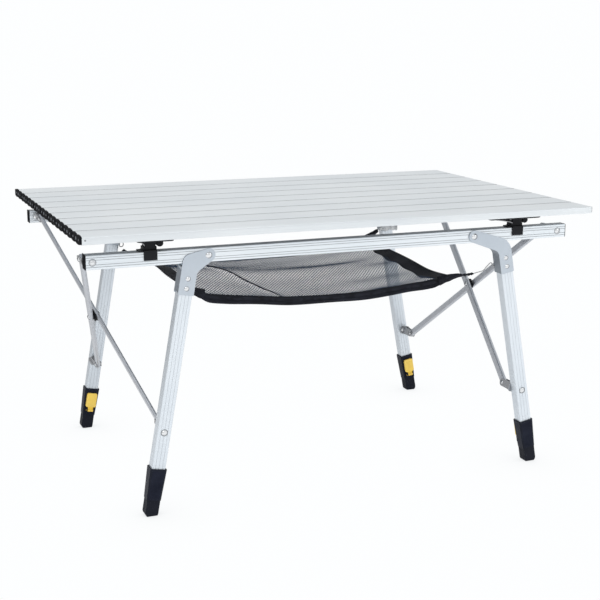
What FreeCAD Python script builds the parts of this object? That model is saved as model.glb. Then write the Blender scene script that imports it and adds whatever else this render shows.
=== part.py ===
import FreeCAD, Part
import math
import os

# Camp kitchen table: a roll-up slatted aluminium top on a folding four-leg
# frame, with a mesh shelf slung between the legs.
# Millimetres, +Z up.  Origin: centre of the table on the ground.
# -Y is the front long side, +Y the back, -X the left end, +X the right end.
# Rails and legs are built on the front side and mirrored to the back.

V = FreeCAD.Vector
X_AXIS, Y_AXIS, Z_AXIS = V(1, 0, 0), V(0, 1, 0), V(0, 0, 1)

# ---------------------------------------------------------------- dimensions
TABLE_L = 1100.0        # along X
TABLE_W = 700.0         # along Y
TABLE_H = 574.0         # top surface, legs at their shortest
SLATS = 9
SLAT_T = 14.0
SLAT_GAP = 0.5
SLAT_CAP = 4.0          # end cap on each slat
SLAT_WALL = 1.2
SLAT_ROUND = 1.5
CHAMBERS = 3            # hollow chambers side by side in each slat
TOP_UNDERSIDE = TABLE_H - SLAT_T

RAIL_OUT = 304.0        # |y| of the rail's outer face
RAIL_IN = 280.0         # |y| of the rail's inner face
RAIL_Y = (RAIL_OUT + RAIL_IN) / 2
RAIL_W = RAIL_OUT - RAIL_IN
RAIL_Z0, RAIL_Z1 = 504.0, 532.0
RAIL_X0, RAIL_X1 = -532.0, 516.0
RAIL_CAP = 4.0
RAIL_PLUG = 7.0         # depth of the cap's plug inside the rail
WALL = 1.6              # rail and outer leg tube
PIVOT_Z = (RAIL_Z0 + RAIL_Z1) / 2   # every rail pivot is on the centre line
CLIP_X = (-407.0, 395.0)            # stations of the saddles and clips

LEG_W, LEG_D, LEG_ROUND = 28.0, 24.0, 2.2
INNER_W, INNER_D, INNER_ROUND = 24.4, 20.4, 1.2
INNER_WALL = 1.4
COLLAR_W, COLLAR_D = 34.0, 30.0
COLLAR_LEN = 65.0
FOOT_SHOW = 33.0        # foot length below the collar
TUBE_IN_COLLAR = 22.0   # outer tube's end above the collar's lower end
INNER_TOP = 208.0       # inner tube's ends, above the ground along the leg
INNER_END = 12.0

PIN_R = 3.0
PIVOT_R = 4.0
CLEAR = 0.05
ELBOW_T = 2.0           # elbow bracket sheet
BOSS_R = 13.0           # bracket outline round the pivot

PIN_Y = 240.0           # |y| of the brace bar pins
LEAF_STOP = 253.0       # |y| where the right legs' swivel leaves end
LEAF_W = 17.0
LEAF_T = 2.0
LEAF_GAP = 0.2          # between leaf and bar
BAR_W, BAR_T = 18.0, 8.0
BAR_WALL = 1.2
BAR_SOLID_END = 30.0    # solid length at each end, from the pin
LAYER = 7.0             # each bar's offset from the plane of its pivots

# Latch hinge, measured from the collar's top and inner face
HINGE_DROP = 52.0
HINGE_OUT = 4.0
HINGE_R = 2.0
EAR_IN, EAR_OUT = 6.8, 9.6
NECK_HALF = 6.4


class End:
    """One end of the table.

    A leg frame has its origin on the rail pivot and +Z up the leg.  Distances
    named below run down the leg from the pivot.
    """

    def __init__(self, pivot_x, outward, tilt, offset, tube_start, rivets, elbow_end,
                 brace_rivet, swivel_x, bend_out, bend_in, long_elbow):
        self.pivot_x = pivot_x
        self.outward = outward          # sign of X away from the table's centre
        self.tilt = tilt                # degrees
        self.offset = offset            # leg axis outboard of the pivot
        self.leg_x = outward * offset
        self.tube_start = tube_start
        self.rivets = rivets            # two elbow rivets
        self.elbow_end = elbow_end
        self.brace_rivet = brace_rivet
        self.swivel_x = swivel_x        # brace swivel on the rail
        self.bend_out = bend_out        # (x from leg axis, z, radius), outboard
        self.bend_in = bend_in          # the same for the inboard bend
        self.long_elbow = long_elbow
        slope = math.radians(tilt)
        self.ground = (PIVOT_Z + offset * math.sin(slope)) / math.cos(slope)
        self.collar_end = self.ground - FOOT_SHOW
        self.collar_top = self.collar_end - COLLAR_LEN
        self.tube_end = self.collar_end - TUBE_IN_COLLAR
        self.hinge_z = -self.collar_top - HINGE_DROP

    def point(self, out, down):
        """Table x and z of a place given outboard of and below the pivot."""
        slope = math.radians(self.tilt)
        across = out * math.cos(slope) + down * math.sin(slope)
        x = self.pivot_x + self.outward * across
        z = PIVOT_Z + out * math.sin(slope) - down * math.cos(slope)
        return x, z

    def to_table(self, solid):
        """Move a solid from the leg frame to the table frame."""
        solid = solid.copy()
        solid.rotate(V(0, 0, 0), Y_AXIS, -self.outward * self.tilt)
        solid.translate(V(self.pivot_x, 0, PIVOT_Z))
        return solid


ENDS = {
    "l": End(pivot_x=-292.0, outward=-1.0, tilt=9.9, offset=34.0, tube_start=30.0,
             rivets=(50.5, 70.0), elbow_end=83.0, brace_rivet=359.0, swivel_x=-518.0,
             bend_out=(16.0, -7.0, 18), bend_in=(-16.0, -36.0, 12), long_elbow=False),
    "r": End(pivot_x=291.0, outward=1.0, tilt=10.5, offset=68.0, tube_start=42.0,
             rivets=(64.0, 83.0), elbow_end=97.0, brace_rivet=369.1, swivel_x=495.0,
             bend_out=(15.0, -28.6, 36), bend_in=(-16.0, -46.0, 16), long_elbow=True),
}


# ------------------------------------------------------------------- helpers
def box(x0, x1, y0, y1, z0, z1):
    """Box between limits; the x limits may come in either order."""
    x0, x1 = sorted((x0, x1))
    return Part.makeBox(x1 - x0, y1 - y0, z1 - z0, V(x0, y0, z0))


def cyl(base, axis, radius, height):
    return Part.makeCylinder(radius, height, V(*base), V(*axis))


def cross_drill(x, z, radius):
    """Drill along Y, right through the front rail or leg."""
    return cyl((x, -RAIL_Y - 20, z), (0, 1, 0), radius, 40)


def round_edges(solid, axis, radius):
    """Fillet a box's edges that run along axis."""
    edges = [e for e in solid.Edges
             if abs((e.Vertexes[0].Point - e.Vertexes[1].Point).dot(axis)) > 1]
    return solid.makeFillet(radius, edges)


def outline(points, y):
    """Closed wire in the XZ plane at y; each point is (x, z, corner radius)."""
    count = len(points)
    corners = []            # arc start, arc middle or None, arc end
    for i in range(count):
        corner = V(points[i][0], y, points[i][1])
        radius = points[i][2]
        if radius <= 0:
            corners.append((corner, None, corner))
            continue
        before, after = points[i - 1], points[(i + 1) % count]
        back = V(before[0], y, before[1]) - corner
        back.normalize()
        ahead = V(after[0], y, after[1]) - corner
        ahead.normalize()
        half = math.acos(max(-1.0, min(1.0, back.dot(ahead)))) / 2
        reach = radius / math.tan(half)
        bisector = back + ahead
        bisector.normalize()
        middle = corner + bisector * (radius / math.sin(half)) - bisector * radius
        corners.append((corner + back * reach, middle, corner + ahead * reach))
    edges = []
    for i in range(count):
        start, middle, end = corners[i]
        if middle is not None:
            edges.append(Part.Arc(start, middle, end).toShape())
        following = corners[(i + 1) % count][0]
        if (following - end).Length > 1e-6:
            edges.append(Part.LineSegment(end, following).toShape())
    return Part.Wire(edges)


def plate(points, y0, y1):
    return Part.Face(outline(points, y0)).extrude(V(0, y1 - y0, 0))


def leg_bar(end, width, depth, radius, z0, z1):
    """Rounded rectangular prism on the axis of the front leg, in its frame."""
    bar = box(-width / 2, width / 2, -depth / 2, depth / 2, z0, z1)
    bar = round_edges(bar, Z_AXIS, radius)
    bar.translate(V(end.leg_x, -RAIL_Y, 0))
    return bar


def rivet_head(base, axis, radius, height):
    """Domed rivet head standing on base along axis."""
    direction = V(*axis)
    ball_r = (radius * radius + height * height) / (2 * height)
    ball = Part.makeSphere(ball_r, V(*base) + direction * (height - ball_r))
    keep = Part.makeCylinder(radius + 0.01, height + 0.5, V(*base), direction)
    return ball.common(keep)


def save(name, shapes):
    solids = [solid for shape in shapes for solid in shape.Solids]
    for solid in solids:
        if not solid.isValid() or solid.Volume <= 0:
            raise ValueError("bad solid in " + name)
    shape = solids[0] if len(solids) == 1 else Part.makeCompound(solids)
    shape.exportStep("parts/" + name + ".step")


def save_pair(front_name, back_name, shapes):
    """Save front shapes and their mirror images at the back."""
    save(front_name, shapes)
    save(back_name, [shape.mirror(V(0, 0, 0), Y_AXIS) for shape in shapes])


# ----------------------------------------------------------------- side rails
def rail():
    tube = box(RAIL_X0, RAIL_X1, -RAIL_OUT, -RAIL_IN, RAIL_Z0, RAIL_Z1)
    tube = round_edges(tube, X_AXIS, 1.8)
    tube = tube.cut(box(RAIL_X0 - 1, RAIL_X1 + 1, -RAIL_OUT + WALL, -RAIL_IN - WALL,
                        RAIL_Z0 + WALL, RAIL_Z1 - WALL))
    # shallow lengthwise grooves on the outer face, and one on the top
    for step in (-2, -1, 1, 2):
        z = PIVOT_Z + step * 4.5
        tube = tube.cut(box(RAIL_X0 - 1, RAIL_X1 + 1, -RAIL_OUT - 1, -RAIL_OUT + 0.35,
                            z - 0.4, z + 0.4))
    tube = tube.cut(box(RAIL_X0 - 1, RAIL_X1 + 1, -RAIL_Y - 3, -RAIL_Y + 3,
                        RAIL_Z1 - 0.6, RAIL_Z1 + 1))
    for end in ENDS.values():
        tube = tube.cut(cross_drill(end.pivot_x, PIVOT_Z, PIVOT_R + CLEAR))
        tube = tube.cut(cross_drill(end.swivel_x, PIVOT_Z, PIN_R + CLEAR))
    return [tube]


def rail_caps():
    """A cap on each end of the rail, with a plug inside the tube."""
    lip = 0.4               # cap beyond the rail's faces
    inset = WALL + 0.1      # plug inside the rail's faces
    caps = []
    for rail_end, outward in ((RAIL_X0, -1), (RAIL_X1, 1)):
        cap = box(rail_end, rail_end + outward * RAIL_CAP, -RAIL_OUT - lip, -RAIL_IN + lip,
                  RAIL_Z0 - lip, RAIL_Z1 + lip)
        cap = round_edges(cap, X_AXIS, 2.0)
        plug = box(rail_end, rail_end - outward * RAIL_PLUG, -RAIL_OUT + inset,
                   -RAIL_IN - inset, RAIL_Z0 + inset, RAIL_Z1 - inset)
        caps.append(cap.fuse(plug).removeSplitter())
    return caps


def saddles():
    """Saddles over the rail; two uprights on each flank the clip's tongue."""
    half = 13.0
    side_t = 2.2
    z_side = RAIL_Z1 - 17   # lower edge of the two sides
    z_top = RAIL_Z1 + 2.4
    pieces = []
    for x in CLIP_X:
        top = box(x - half, x + half, -RAIL_OUT - 2, -RAIL_IN + 2, RAIL_Z1, z_top)
        outer = box(x - half, x + half, -RAIL_OUT - side_t, -RAIL_OUT, z_side, z_top)
        inner = box(x - half, x + half, -RAIL_IN, -RAIL_IN + side_t, z_side, z_top)
        tab = box(x - 22, x - half, -RAIL_OUT + 2, -RAIL_IN - 2, RAIL_Z1, z_top)
        saddle = top.fuse([outer, inner, tab])
        for side in (-1, 1):
            saddle = saddle.fuse(box(x + side * 10.6, x + side * half, -RAIL_OUT + 2,
                                     -RAIL_IN - 2, z_top, RAIL_Z1 + 9))
        pieces.append(saddle.removeSplitter())
    return pieces


def clips():
    """Clips under the edge slat: base plate, tongue, short arm, round knob."""
    z_base = TOP_UNDERSIDE - 3
    pieces = []
    for x in CLIP_X:
        base = box(x - 34, x + 38, -RAIL_OUT, -RAIL_IN, z_base, TOP_UNDERSIDE)
        tongue = box(x - 10, x + 10, -RAIL_OUT + 1, -RAIL_IN - 1, RAIL_Z1 + 3, z_base)
        arm = box(x + 10, x + 18, -RAIL_OUT + 4, -RAIL_IN - 4, RAIL_Z1 + 10, z_base)
        knob = cyl((x + 20, -RAIL_OUT + 1, TOP_UNDERSIDE - 10), (0, 1, 0), 6.8, RAIL_W - 2)
        pieces.append(base.fuse([tongue, arm, knob]).removeSplitter())
    return pieces


# ------------------------------------------- front leg pieces, in the leg frame
def leg_tube(end):
    """Outer tube, ending inside the collar."""
    x = end.leg_x
    tube = leg_bar(end, LEG_W, LEG_D, LEG_ROUND, -end.tube_end, -end.tube_start)
    tube = tube.cut(leg_bar(end, LEG_W - 2 * WALL, LEG_D - 2 * WALL, 1.0,
                            -end.tube_end - 1, -end.tube_start + 1))
    tube = tube.cut(cross_drill(x, -end.brace_rivet, PIN_R + CLEAR))
    for down in end.rivets:
        tube = tube.cut(cross_drill(x, -down, PIN_R))
    # latch window in the inner face
    window = box(x - 4, x + 4, -RAIL_IN - 4, -RAIL_IN + 4,
                 -end.collar_top - 26, -end.collar_top - 16)
    return [tube.cut(window)]


def long_elbow_web(end, start, bend, inner_z):
    """Band of sheet along the diagonal lower edge and down the inboard edge."""
    run_x, run_z = bend[0] - start[0], bend[1] - start[1]
    length = math.hypot(run_x, run_z)
    run_x, run_z = run_x / length, run_z / length
    shift_x, shift_z = -ELBOW_T * run_z, ELBOW_T * run_x
    first_x = 22.0          # the band begins this far outboard of the pivot
    first_z = start[1] + run_z * (first_x - start[0]) / run_x
    upper_x = bend[0] + ELBOW_T
    upper_z = start[1] + shift_z + run_z * (upper_x - start[0] - shift_x) / run_x
    band = [(first_x, first_z, 0), bend, (bend[0], inner_z, 0), (upper_x, inner_z, 0),
            (upper_x, upper_z, bend[2] + ELBOW_T),
            (first_x + shift_x, first_z + shift_z, 0)]
    return plate([(end.outward * x, z, r) for x, z, r in band], -RAIL_OUT, -RAIL_IN)


def elbow_bracket(end):
    """Outer and inner gooseneck plates joined by webs."""
    outer_x, outer_z = end.offset + end.bend_out[0], end.bend_out[1]
    inner_x, inner_z = end.offset + end.bend_in[0], end.bend_in[1]
    # both long edges are tangent to the boss round the pivot
    upper = math.atan2(-outer_z, outer_x) + math.asin(BOSS_R / math.hypot(outer_x, outer_z))
    lower = math.atan2(-inner_z, inner_x) - math.asin(BOSS_R / math.hypot(inner_x, inner_z))
    upper_z = (BOSS_R + BOSS_R * math.sin(upper)) / math.cos(upper)
    lower_z = -(BOSS_R - BOSS_R * math.sin(lower)) / math.cos(lower)
    boss_round = BOSS_R - 0.1
    lower_start = (-BOSS_R, lower_z, boss_round)
    inner_bend = (inner_x, inner_z, end.bend_in[2])
    # columns: distance outboard of the pivot, z, corner radius
    shape = [(-BOSS_R, upper_z, boss_round), (outer_x, outer_z, end.bend_out[2]),
             (outer_x, -end.elbow_end, 3), (inner_x, -end.elbow_end, 1),
             inner_bend, lower_start]
    points = [(end.outward * x, z, r) for x, z, r in shape]
    plates = []
    for y0 in (-RAIL_OUT - ELBOW_T, -RAIL_IN):
        cheek = plate(points, y0, y0 + ELBOW_T)
        cheek = cheek.cut(cross_drill(0, 0, PIVOT_R))
        for down in end.rivets:
            cheek = cheek.cut(cross_drill(end.leg_x, -down, PIN_R))
        plates.append(cheek)
    web_end = -end.elbow_end + 1
    if end.long_elbow:
        webs = [long_elbow_web(end, lower_start, inner_bend, web_end)]
    else:
        # an inboard web that stops below the bend, and an outboard flange
        webs = [box(end.outward * inner_x, end.outward * (inner_x + ELBOW_T),
                    -RAIL_OUT, -RAIL_IN, web_end, inner_z - 6.0),
                box(end.outward * (outer_x - ELBOW_T), end.outward * outer_x,
                    -RAIL_OUT, -RAIL_IN, -end.elbow_end + 4, -36.0)]
    return [plates[0].fuse([plates[1]] + webs)]


def through_rivet(x, z, radius, head_r, outer_h, inner_h):
    y_out, y_in = -RAIL_OUT - ELBOW_T, -RAIL_IN + ELBOW_T
    shank = cyl((x, y_out, z), (0, 1, 0), radius, y_in - y_out)
    shank = shank.fuse(rivet_head((x, y_out, z), (0, -1, 0), head_r, outer_h))
    return shank.fuse(rivet_head((x, y_in, z), (0, 1, 0), head_r, inner_h))


def leg_rivets(end):
    """The pivot through the rail, and two through bracket and leg."""
    return ([through_rivet(0, 0, PIVOT_R, 6.5, 3.0, 2.5)]
            + [through_rivet(end.leg_x, -down, PIN_R, 5.0, 2.5, 2.0) for down in end.rivets])


COLLAR_INNER_Y = -RAIL_Y + COLLAR_D / 2


def collar_ring(end, width, depth, z):
    """Chamfered rectangle, one end section of the collar."""
    chamfer = 3.0
    hw, hd = width / 2, depth / 2
    corners = [(-hw + chamfer, -hd), (hw - chamfer, -hd), (hw, -hd + chamfer),
               (hw, hd - chamfer), (hw - chamfer, hd), (-hw + chamfer, hd),
               (-hw, hd - chamfer), (-hw, -hd + chamfer)]
    points = [V(end.leg_x + x, -RAIL_Y + y, z) for x, y in corners]
    return Part.makePolygon(points + [points[0]])


def lock_collar(end):
    """Tapered collar round both tubes, with a window and two hinge ears."""
    x, z_top, z_end = end.leg_x, -end.collar_top, -end.collar_end
    collar = Part.makeLoft([collar_ring(end, COLLAR_W - 4.8, COLLAR_D - 3.0, z_end),
                            collar_ring(end, COLLAR_W, COLLAR_D, z_top)], True, True)
    collar = collar.cut(leg_bar(end, LEG_W, LEG_D, LEG_ROUND, -end.tube_end, z_top + 1))
    collar = collar.cut(leg_bar(end, INNER_W + 0.4, INNER_D + 0.4, INNER_ROUND,
                                z_end - 1, -end.tube_end + 1))
    collar = collar.cut(box(x - 6.2, x + 6.2, -RAIL_IN - 2, COLLAR_INNER_Y + 1,
                            z_top - 34, z_top - 18))
    for side in (-1, 1):
        collar = collar.fuse(box(x + side * EAR_IN, x + side * EAR_OUT,
                                 COLLAR_INNER_Y - 2.6, COLLAR_INNER_Y + 7,
                                 end.hinge_z - 6, end.hinge_z + 6))
    hinge_hole = cyl((x - 20, COLLAR_INNER_Y + HINGE_OUT, end.hinge_z), (1, 0, 0),
                     HINGE_R + CLEAR, 40)
    return [collar.cut(hinge_hole)]


def latch_lever(end):
    """Broad plate, narrow neck, cross barrel and pin in the ears, and a tooth."""
    x, y, z = end.leg_x, COLLAR_INNER_Y, end.hinge_z
    lever = round_edges(box(x - 12, x + 12, y + 1.4, y + 5.6, z + 8, z + 42), Y_AXIS, 4.0)
    neck = box(x - NECK_HALF, x + NECK_HALF, y + 1.6, y + 5.4, z, z + 12)
    pin = cyl((x - EAR_OUT, y + HINGE_OUT, z), (1, 0, 0), HINGE_R, 2 * EAR_OUT)
    barrel = cyl((x - NECK_HALF, y + HINGE_OUT, z), (1, 0, 0), 3.4, 2 * NECK_HALF)
    tooth = box(x - 3, x + 3, y - 2.5, y + 2.3, z + 20, z + 28)
    return [lever.fuse([neck, pin, barrel, tooth]).removeSplitter()]


def inner_tube(end):
    x = end.leg_x
    z_top, z_end = INNER_TOP - end.ground, INNER_END - end.ground
    tube = leg_bar(end, INNER_W, INNER_D, INNER_ROUND, z_end, z_top)
    tube = tube.cut(leg_bar(end, INNER_W - 2 * INNER_WALL, INNER_D - 2 * INNER_WALL, 0.8,
                            z_end - 1, z_top + 1))
    # open slot that clears the brace rivet
    tube = tube.cut(box(x - 4.5, x + 4.5, -RAIL_Y - 20, -RAIL_Y + 20,
                        -end.brace_rivet - 5.5, z_top + 1))
    # row of latch holes in the inner face
    for k in range(3):
        z = -end.collar_top - 21 + k * 26.0
        tube = tube.cut(cyl((x, -RAIL_Y, z), (0, 1, 0), 3.5, 20))
    return [tube]


def foot(end):
    """Sleeve whose sole is rounded along the table's length."""
    half_w, half_d = (INNER_W + 2.2) / 2, (INNER_D + 2.2) / 2
    x0, x1 = end.leg_x - half_w, end.leg_x + half_w
    z_top, z_sole = -end.collar_end - 0.6, -end.ground - 2.5
    sleeve = plate([(x0, z_top, 0), (x1, z_top, 0), (x1, z_sole, 9.5), (x0, z_sole, 9.5)],
                   -RAIL_Y - half_d, -RAIL_Y + half_d)
    sleeve = sleeve.cut(leg_bar(end, INNER_W, INNER_D, INNER_ROUND,
                                INNER_END - end.ground, -end.collar_end + 1))
    return [sleeve]


def save_legs():
    makers = (leg_tube, elbow_bracket, leg_rivets, lock_collar, latch_lever, inner_tube, foot)
    below_ground = box(-900, 900, -500, 500, -40, 0)
    for side, end in ENDS.items():
        for maker in makers:
            solids = [end.to_table(solid) for solid in maker(end)]
            if maker is foot:
                # the sole is cut level with the ground
                solids = [solids[0].cut(below_ground)]
            save_pair(maker.__name__ + "_f" + side, maker.__name__ + "_b" + side, solids)


# ---------------------------------------------------------- cross brace bars
def frame(origin, x_dir, y_dir, z_dir):
    return FreeCAD.Placement(FreeCAD.Matrix(
        x_dir.x, y_dir.x, z_dir.x, origin.x,
        x_dir.y, y_dir.y, z_dir.y, origin.y,
        x_dir.z, y_dir.z, z_dir.z, origin.z,
        0, 0, 0, 1))


def place(solid, placement):
    solid = solid.copy()
    solid.Placement = placement.multiply(solid.Placement)
    return solid


def brace_bar(start, finish, normal, front):
    """Bar between its two pins, with its rivets; local +Z is normal."""
    half_w, half_t = BAR_W / 2, BAR_T / 2
    along = finish - start
    length = along.Length
    along.normalize()
    body = Part.makeBox(length, BAR_W, BAR_T, V(0, -half_w, -half_t))
    body = body.fuse([Part.makeCylinder(half_w, BAR_T, V(x, 0, -half_t))
                      for x in (0, length)]).removeSplitter()
    body = body.cut(Part.makeBox(length - 2 * BAR_SOLID_END, BAR_W - 2 * BAR_WALL,
                                 BAR_T - 2 * BAR_WALL,
                                 V(BAR_SOLID_END, -half_w + BAR_WALL, -half_t + BAR_WALL)))
    body = body.cut(Part.makeCylinder(PIN_R + CLEAR, BAR_T + 2, V(0, 0, -half_t - 1)))
    # rivet head at the lower pivot, on the side away from the leaf
    lower_head = rivet_head((length, 0, -half_t), (0, 0, -1), 5.0, 2.4)
    # rivet head at the crossing, on the side away from the other bar
    away = -1 if front else 1
    crossing_head = rivet_head((length / 2, 0, away * half_t), (0, 0, away), 5.0, 2.4)
    pieces = [body, lower_head, crossing_head]
    if not front:
        # spacer between the bars, 0.2 short of the other one
        gap = 2 * (LAYER - half_t)
        pieces.append(Part.makeCylinder(10.0, gap - 0.2, V(length / 2, 0, -half_t - gap + 0.2)))
    placement = frame(start, along, normal.cross(along), normal)
    return [place(piece, placement) for piece in pieces]


def swivel(x, z, y_sign, leaf_dir, normal, layer, has_pin, short):
    """Axle through the rail or leg, disc, and leaf beside the bar."""
    half_t = BAR_T / 2
    inward = (0, -y_sign, 0)
    axle = cyl((x, y_sign * RAIL_OUT, z), inward, PIN_R, RAIL_W + 1.5)
    head = rivet_head((x, y_sign * (RAIL_OUT + 0.15), z), (0, y_sign, 0), 6.0, 3.0)
    stub = cyl((x, y_sign * (RAIL_OUT + 0.6), z), inward, PIN_R, 2)
    disc = cyl((x, y_sign * (RAIL_IN - 0.1), z), inward, 14.0, 3.0)
    # leaf parallel to the brace plane; its local +Y points inward
    placement = frame(V(x, 0, z), leaf_dir, V(*inward), normal)
    leaf_start = RAIL_IN - 2.0
    leaf_stop = LEAF_STOP if short else PIN_Y
    leaf_z = layer + half_t + LEAF_GAP
    leaf = Part.makeBox(LEAF_W, leaf_start - leaf_stop, LEAF_T,
                        V(-LEAF_W / 2, -leaf_start, leaf_z))
    if not short:
        tip = Part.makeCylinder(LEAF_W / 2, LEAF_T, V(0, -leaf_stop, leaf_z))
        leaf = leaf.fuse(tip).removeSplitter()
    pieces = [head, stub, disc, place(leaf, placement)]
    if has_pin:
        pin = Part.makeCylinder(PIN_R, BAR_T + 2 + LEAF_T,
                                V(0, -leaf_stop, layer - half_t - 1.5))
        pin_head = rivet_head((0, -leaf_stop, layer - half_t - 0.3), (0, 0, -1), 5.0, 2.4)
        pieces += [place(pin, placement), place(pin_head, placement)]
    return [axle.fuse(pieces)]


def save_brace(side, end, front):
    """Bar from one rail to the leg on the other long side, and its swivels."""
    rail_y = -1.0 if front else 1.0
    layer = rail_y * LAYER
    leg_x, leg_z = end.point(end.offset, end.brace_rivet)
    run = V(leg_x - end.swivel_x, 0, leg_z - PIVOT_Z)
    run.normalize()
    # unit normal of the brace plane, pointing inboard and up
    normal = V(end.outward * run.z, 0, -end.outward * run.x)
    start = V(end.swivel_x, rail_y * PIN_Y, PIVOT_Z) + normal * layer
    finish = V(leg_x, -rail_y * PIN_Y, leg_z) + normal * layer
    leaf_dir = run * (end.outward * rail_y)     # keeps the leaf frame right-handed
    rail_side, leg_side = ("f", "b") if front else ("b", "f")
    save("brace_bar_" + rail_side + side, brace_bar(start, finish, normal, front))
    save("rail_swivel_" + rail_side + side,
         swivel(end.swivel_x, PIVOT_Z, rail_y, leaf_dir, normal, layer,
                has_pin=True, short=False))
    # the right legs fold after the brace, so their leaves stop short of the bars
    save("leg_swivel_" + leg_side + side,
         swivel(leg_x, leg_z, -rail_y, leaf_dir * -1, normal, layer,
                has_pin=False, short=end.outward > 0))


# ------------------------------------------------------------------ slat top
def slat(index):
    """Hollow slat with a plugged cap on each end."""
    pitch = TABLE_W / SLATS
    y0 = -TABLE_W / 2 + pitch * index + SLAT_GAP / 2
    y1 = y0 + pitch - SLAT_GAP
    half = TABLE_L / 2
    z0, z1 = TOP_UNDERSIDE, TABLE_H
    chamber_w = (y1 - y0 - (CHAMBERS + 1) * SLAT_WALL) / CHAMBERS
    starts = [y0 + SLAT_WALL + k * (chamber_w + SLAT_WALL) for k in range(CHAMBERS)]
    body = box(-half + SLAT_CAP, half - SLAT_CAP, y0, y1, z0, z1)
    body = round_edges(body, X_AXIS, SLAT_ROUND)
    for y in starts:
        body = body.cut(box(-half, half, y, y + chamber_w, z0 + SLAT_WALL, z1 - SLAT_WALL))
    pieces = [body]
    for outward in (-1, 1):
        joint = outward * (half - SLAT_CAP)
        cap = round_edges(box(joint, outward * half, y0, y1, z0, z1), X_AXIS, SLAT_ROUND)
        for y in starts:
            cap = cap.fuse(box(joint, joint - outward * 8, y + 0.2, y + chamber_w - 0.2,
                               z0 + SLAT_WALL + 0.2, z1 - SLAT_WALL - 0.2))
        pieces.append(cap)
    return pieces


# -------------------------------------------------------------- mesh shelf
NET_X0, NET_X1 = -310.0, 280.0
NET_Y = 252.0
NET_T = 3.0
NET_SAG = 6.0           # across the table, at mid width
NET_CELLS_Y = 6
# underside z of the long edges at equal steps from NET_X0 to NET_X1
NET_EDGE = (451.0, 423.0, 405.0, 399.0, 397.0, 398.0, 401.5, 409.0, 425.0)


def storage_net():
    """Shallow trough: a thin sheet lofted through cross sections along X."""
    wires = []
    for i, edge_z in enumerate(NET_EDGE):
        x = NET_X0 + (NET_X1 - NET_X0) * i / (len(NET_EDGE) - 1)
        under = [V(x, -NET_Y + 2 * NET_Y * j / NET_CELLS_Y,
                   edge_z - NET_SAG * math.sin(math.pi * j / NET_CELLS_Y))
                 for j in range(NET_CELLS_Y + 1)]
        over = [point + V(0, 0, NET_T) for point in under]
        wires.append(Part.makePolygon(over + under[::-1] + [over[0]]))
    return [Part.makeLoft(wires, True, True)]


def net_hooks():
    """Four bent wires from the net's corners to beside the lower elbow rivets."""
    wire_r = 1.5
    corners = ((ENDS["l"], NET_X0, NET_EDGE[0]), (ENDS["r"], NET_X1, NET_EDGE[-1]))
    hooks = []
    for end, net_x, net_z in corners:
        leg_x, leg_z = end.point(end.offset - 18.5, end.rivets[1] + 4)
        for y_sign in (-1, 1):
            start = V(net_x + end.outward * 1.5, y_sign * (NET_Y - 8), net_z + 1.5)
            finish = V(leg_x, y_sign * (RAIL_IN - 8), leg_z)
            bend = (start + finish) * 0.5 + V(0, 0, -4)
            lower, upper = [Part.makeCylinder(wire_r, (b - a).Length, a, b - a)
                            for a, b in ((start, bend), (bend, finish))]
            hooks.append(lower.fuse([upper, Part.makeSphere(wire_r, bend)]))
    return hooks


# --------------------------------------------------------------------- build
os.makedirs("parts", exist_ok=True)

for maker in (rail, rail_caps, saddles, clips):
    save_pair("front_" + maker.__name__, "back_" + maker.__name__, maker())
save_legs()
for side, end in ENDS.items():
    for front in (True, False):
        save_brace(side, end, front)
for i in range(SLATS):
    save("slat_%d" % (i + 1), slat(i))
save("storage_net", storage_net())
save("net_hooks", net_hooks())
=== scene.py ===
# A folding camping table: nine aluminium slats across two rails, four splayed legs with
# locking collars, crossed brace bars at each end and a storage net slung underneath.
# Metres, +Z up, ground at z = 0.  The slats run along X and are counted from the front (-Y)
# to the back (+Y); left is -X and right is +X.  Corners are named "fl", "bl", "fr" and "br".
import math
import bpy
import bmesh
import numpy as np
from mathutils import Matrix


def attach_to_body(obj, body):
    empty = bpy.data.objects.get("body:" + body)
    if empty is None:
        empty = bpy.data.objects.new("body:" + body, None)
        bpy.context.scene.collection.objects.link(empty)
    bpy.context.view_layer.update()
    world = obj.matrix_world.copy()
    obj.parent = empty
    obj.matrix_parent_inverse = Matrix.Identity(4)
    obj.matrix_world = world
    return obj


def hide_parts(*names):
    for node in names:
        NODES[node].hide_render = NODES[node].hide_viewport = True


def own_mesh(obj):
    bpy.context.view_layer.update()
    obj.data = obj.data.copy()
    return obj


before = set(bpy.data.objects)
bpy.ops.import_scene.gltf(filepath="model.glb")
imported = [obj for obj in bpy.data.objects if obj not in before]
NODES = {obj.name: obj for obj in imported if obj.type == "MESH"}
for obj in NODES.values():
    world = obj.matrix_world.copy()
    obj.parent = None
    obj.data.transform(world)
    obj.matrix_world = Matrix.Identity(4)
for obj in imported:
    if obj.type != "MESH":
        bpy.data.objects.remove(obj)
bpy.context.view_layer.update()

from types import SimpleNamespace
from mathutils import Matrix, Quaternion, Vector

scene = bpy.context.scene

# ------------------------------------------------------------ driving sizes
SLATS = 9
TOP_DEPTH = 0.700
PITCH = TOP_DEPTH / SLATS
SLAT_BOTTOM, SLAT_TOP = 0.560, 0.574
SLAT_END = 0.546            # x of the slat ends, where the caps start
SLAT_END_RIGHT = 0.5484     # the bodies run a little further into the right caps

RAIL_Y, RAIL_Z = 0.292, 0.518             # rail centre line; the legs pivot at its height
RAIL_W, RAIL_H = 0.024, 0.028             # across (y) and upright (z)
RAIL_LEFT, RAIL_RIGHT = -0.5310, 0.5150
RAIL_FACE = RAIL_Y + RAIL_W / 2           # outer face of the rails

LEG_W, LEG_D = 0.028, 0.024               # along the table and across it
LEG_TUBE_LIFT = 0.080                     # outer tube ends this far up the leg from the ground

BAR_LAYER = 0.007                         # each crossed bar lies this far off the shared plane
BAR_W, BAR_T = 0.018, 0.008
PIN_Y = 0.240                             # bar end pins

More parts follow.
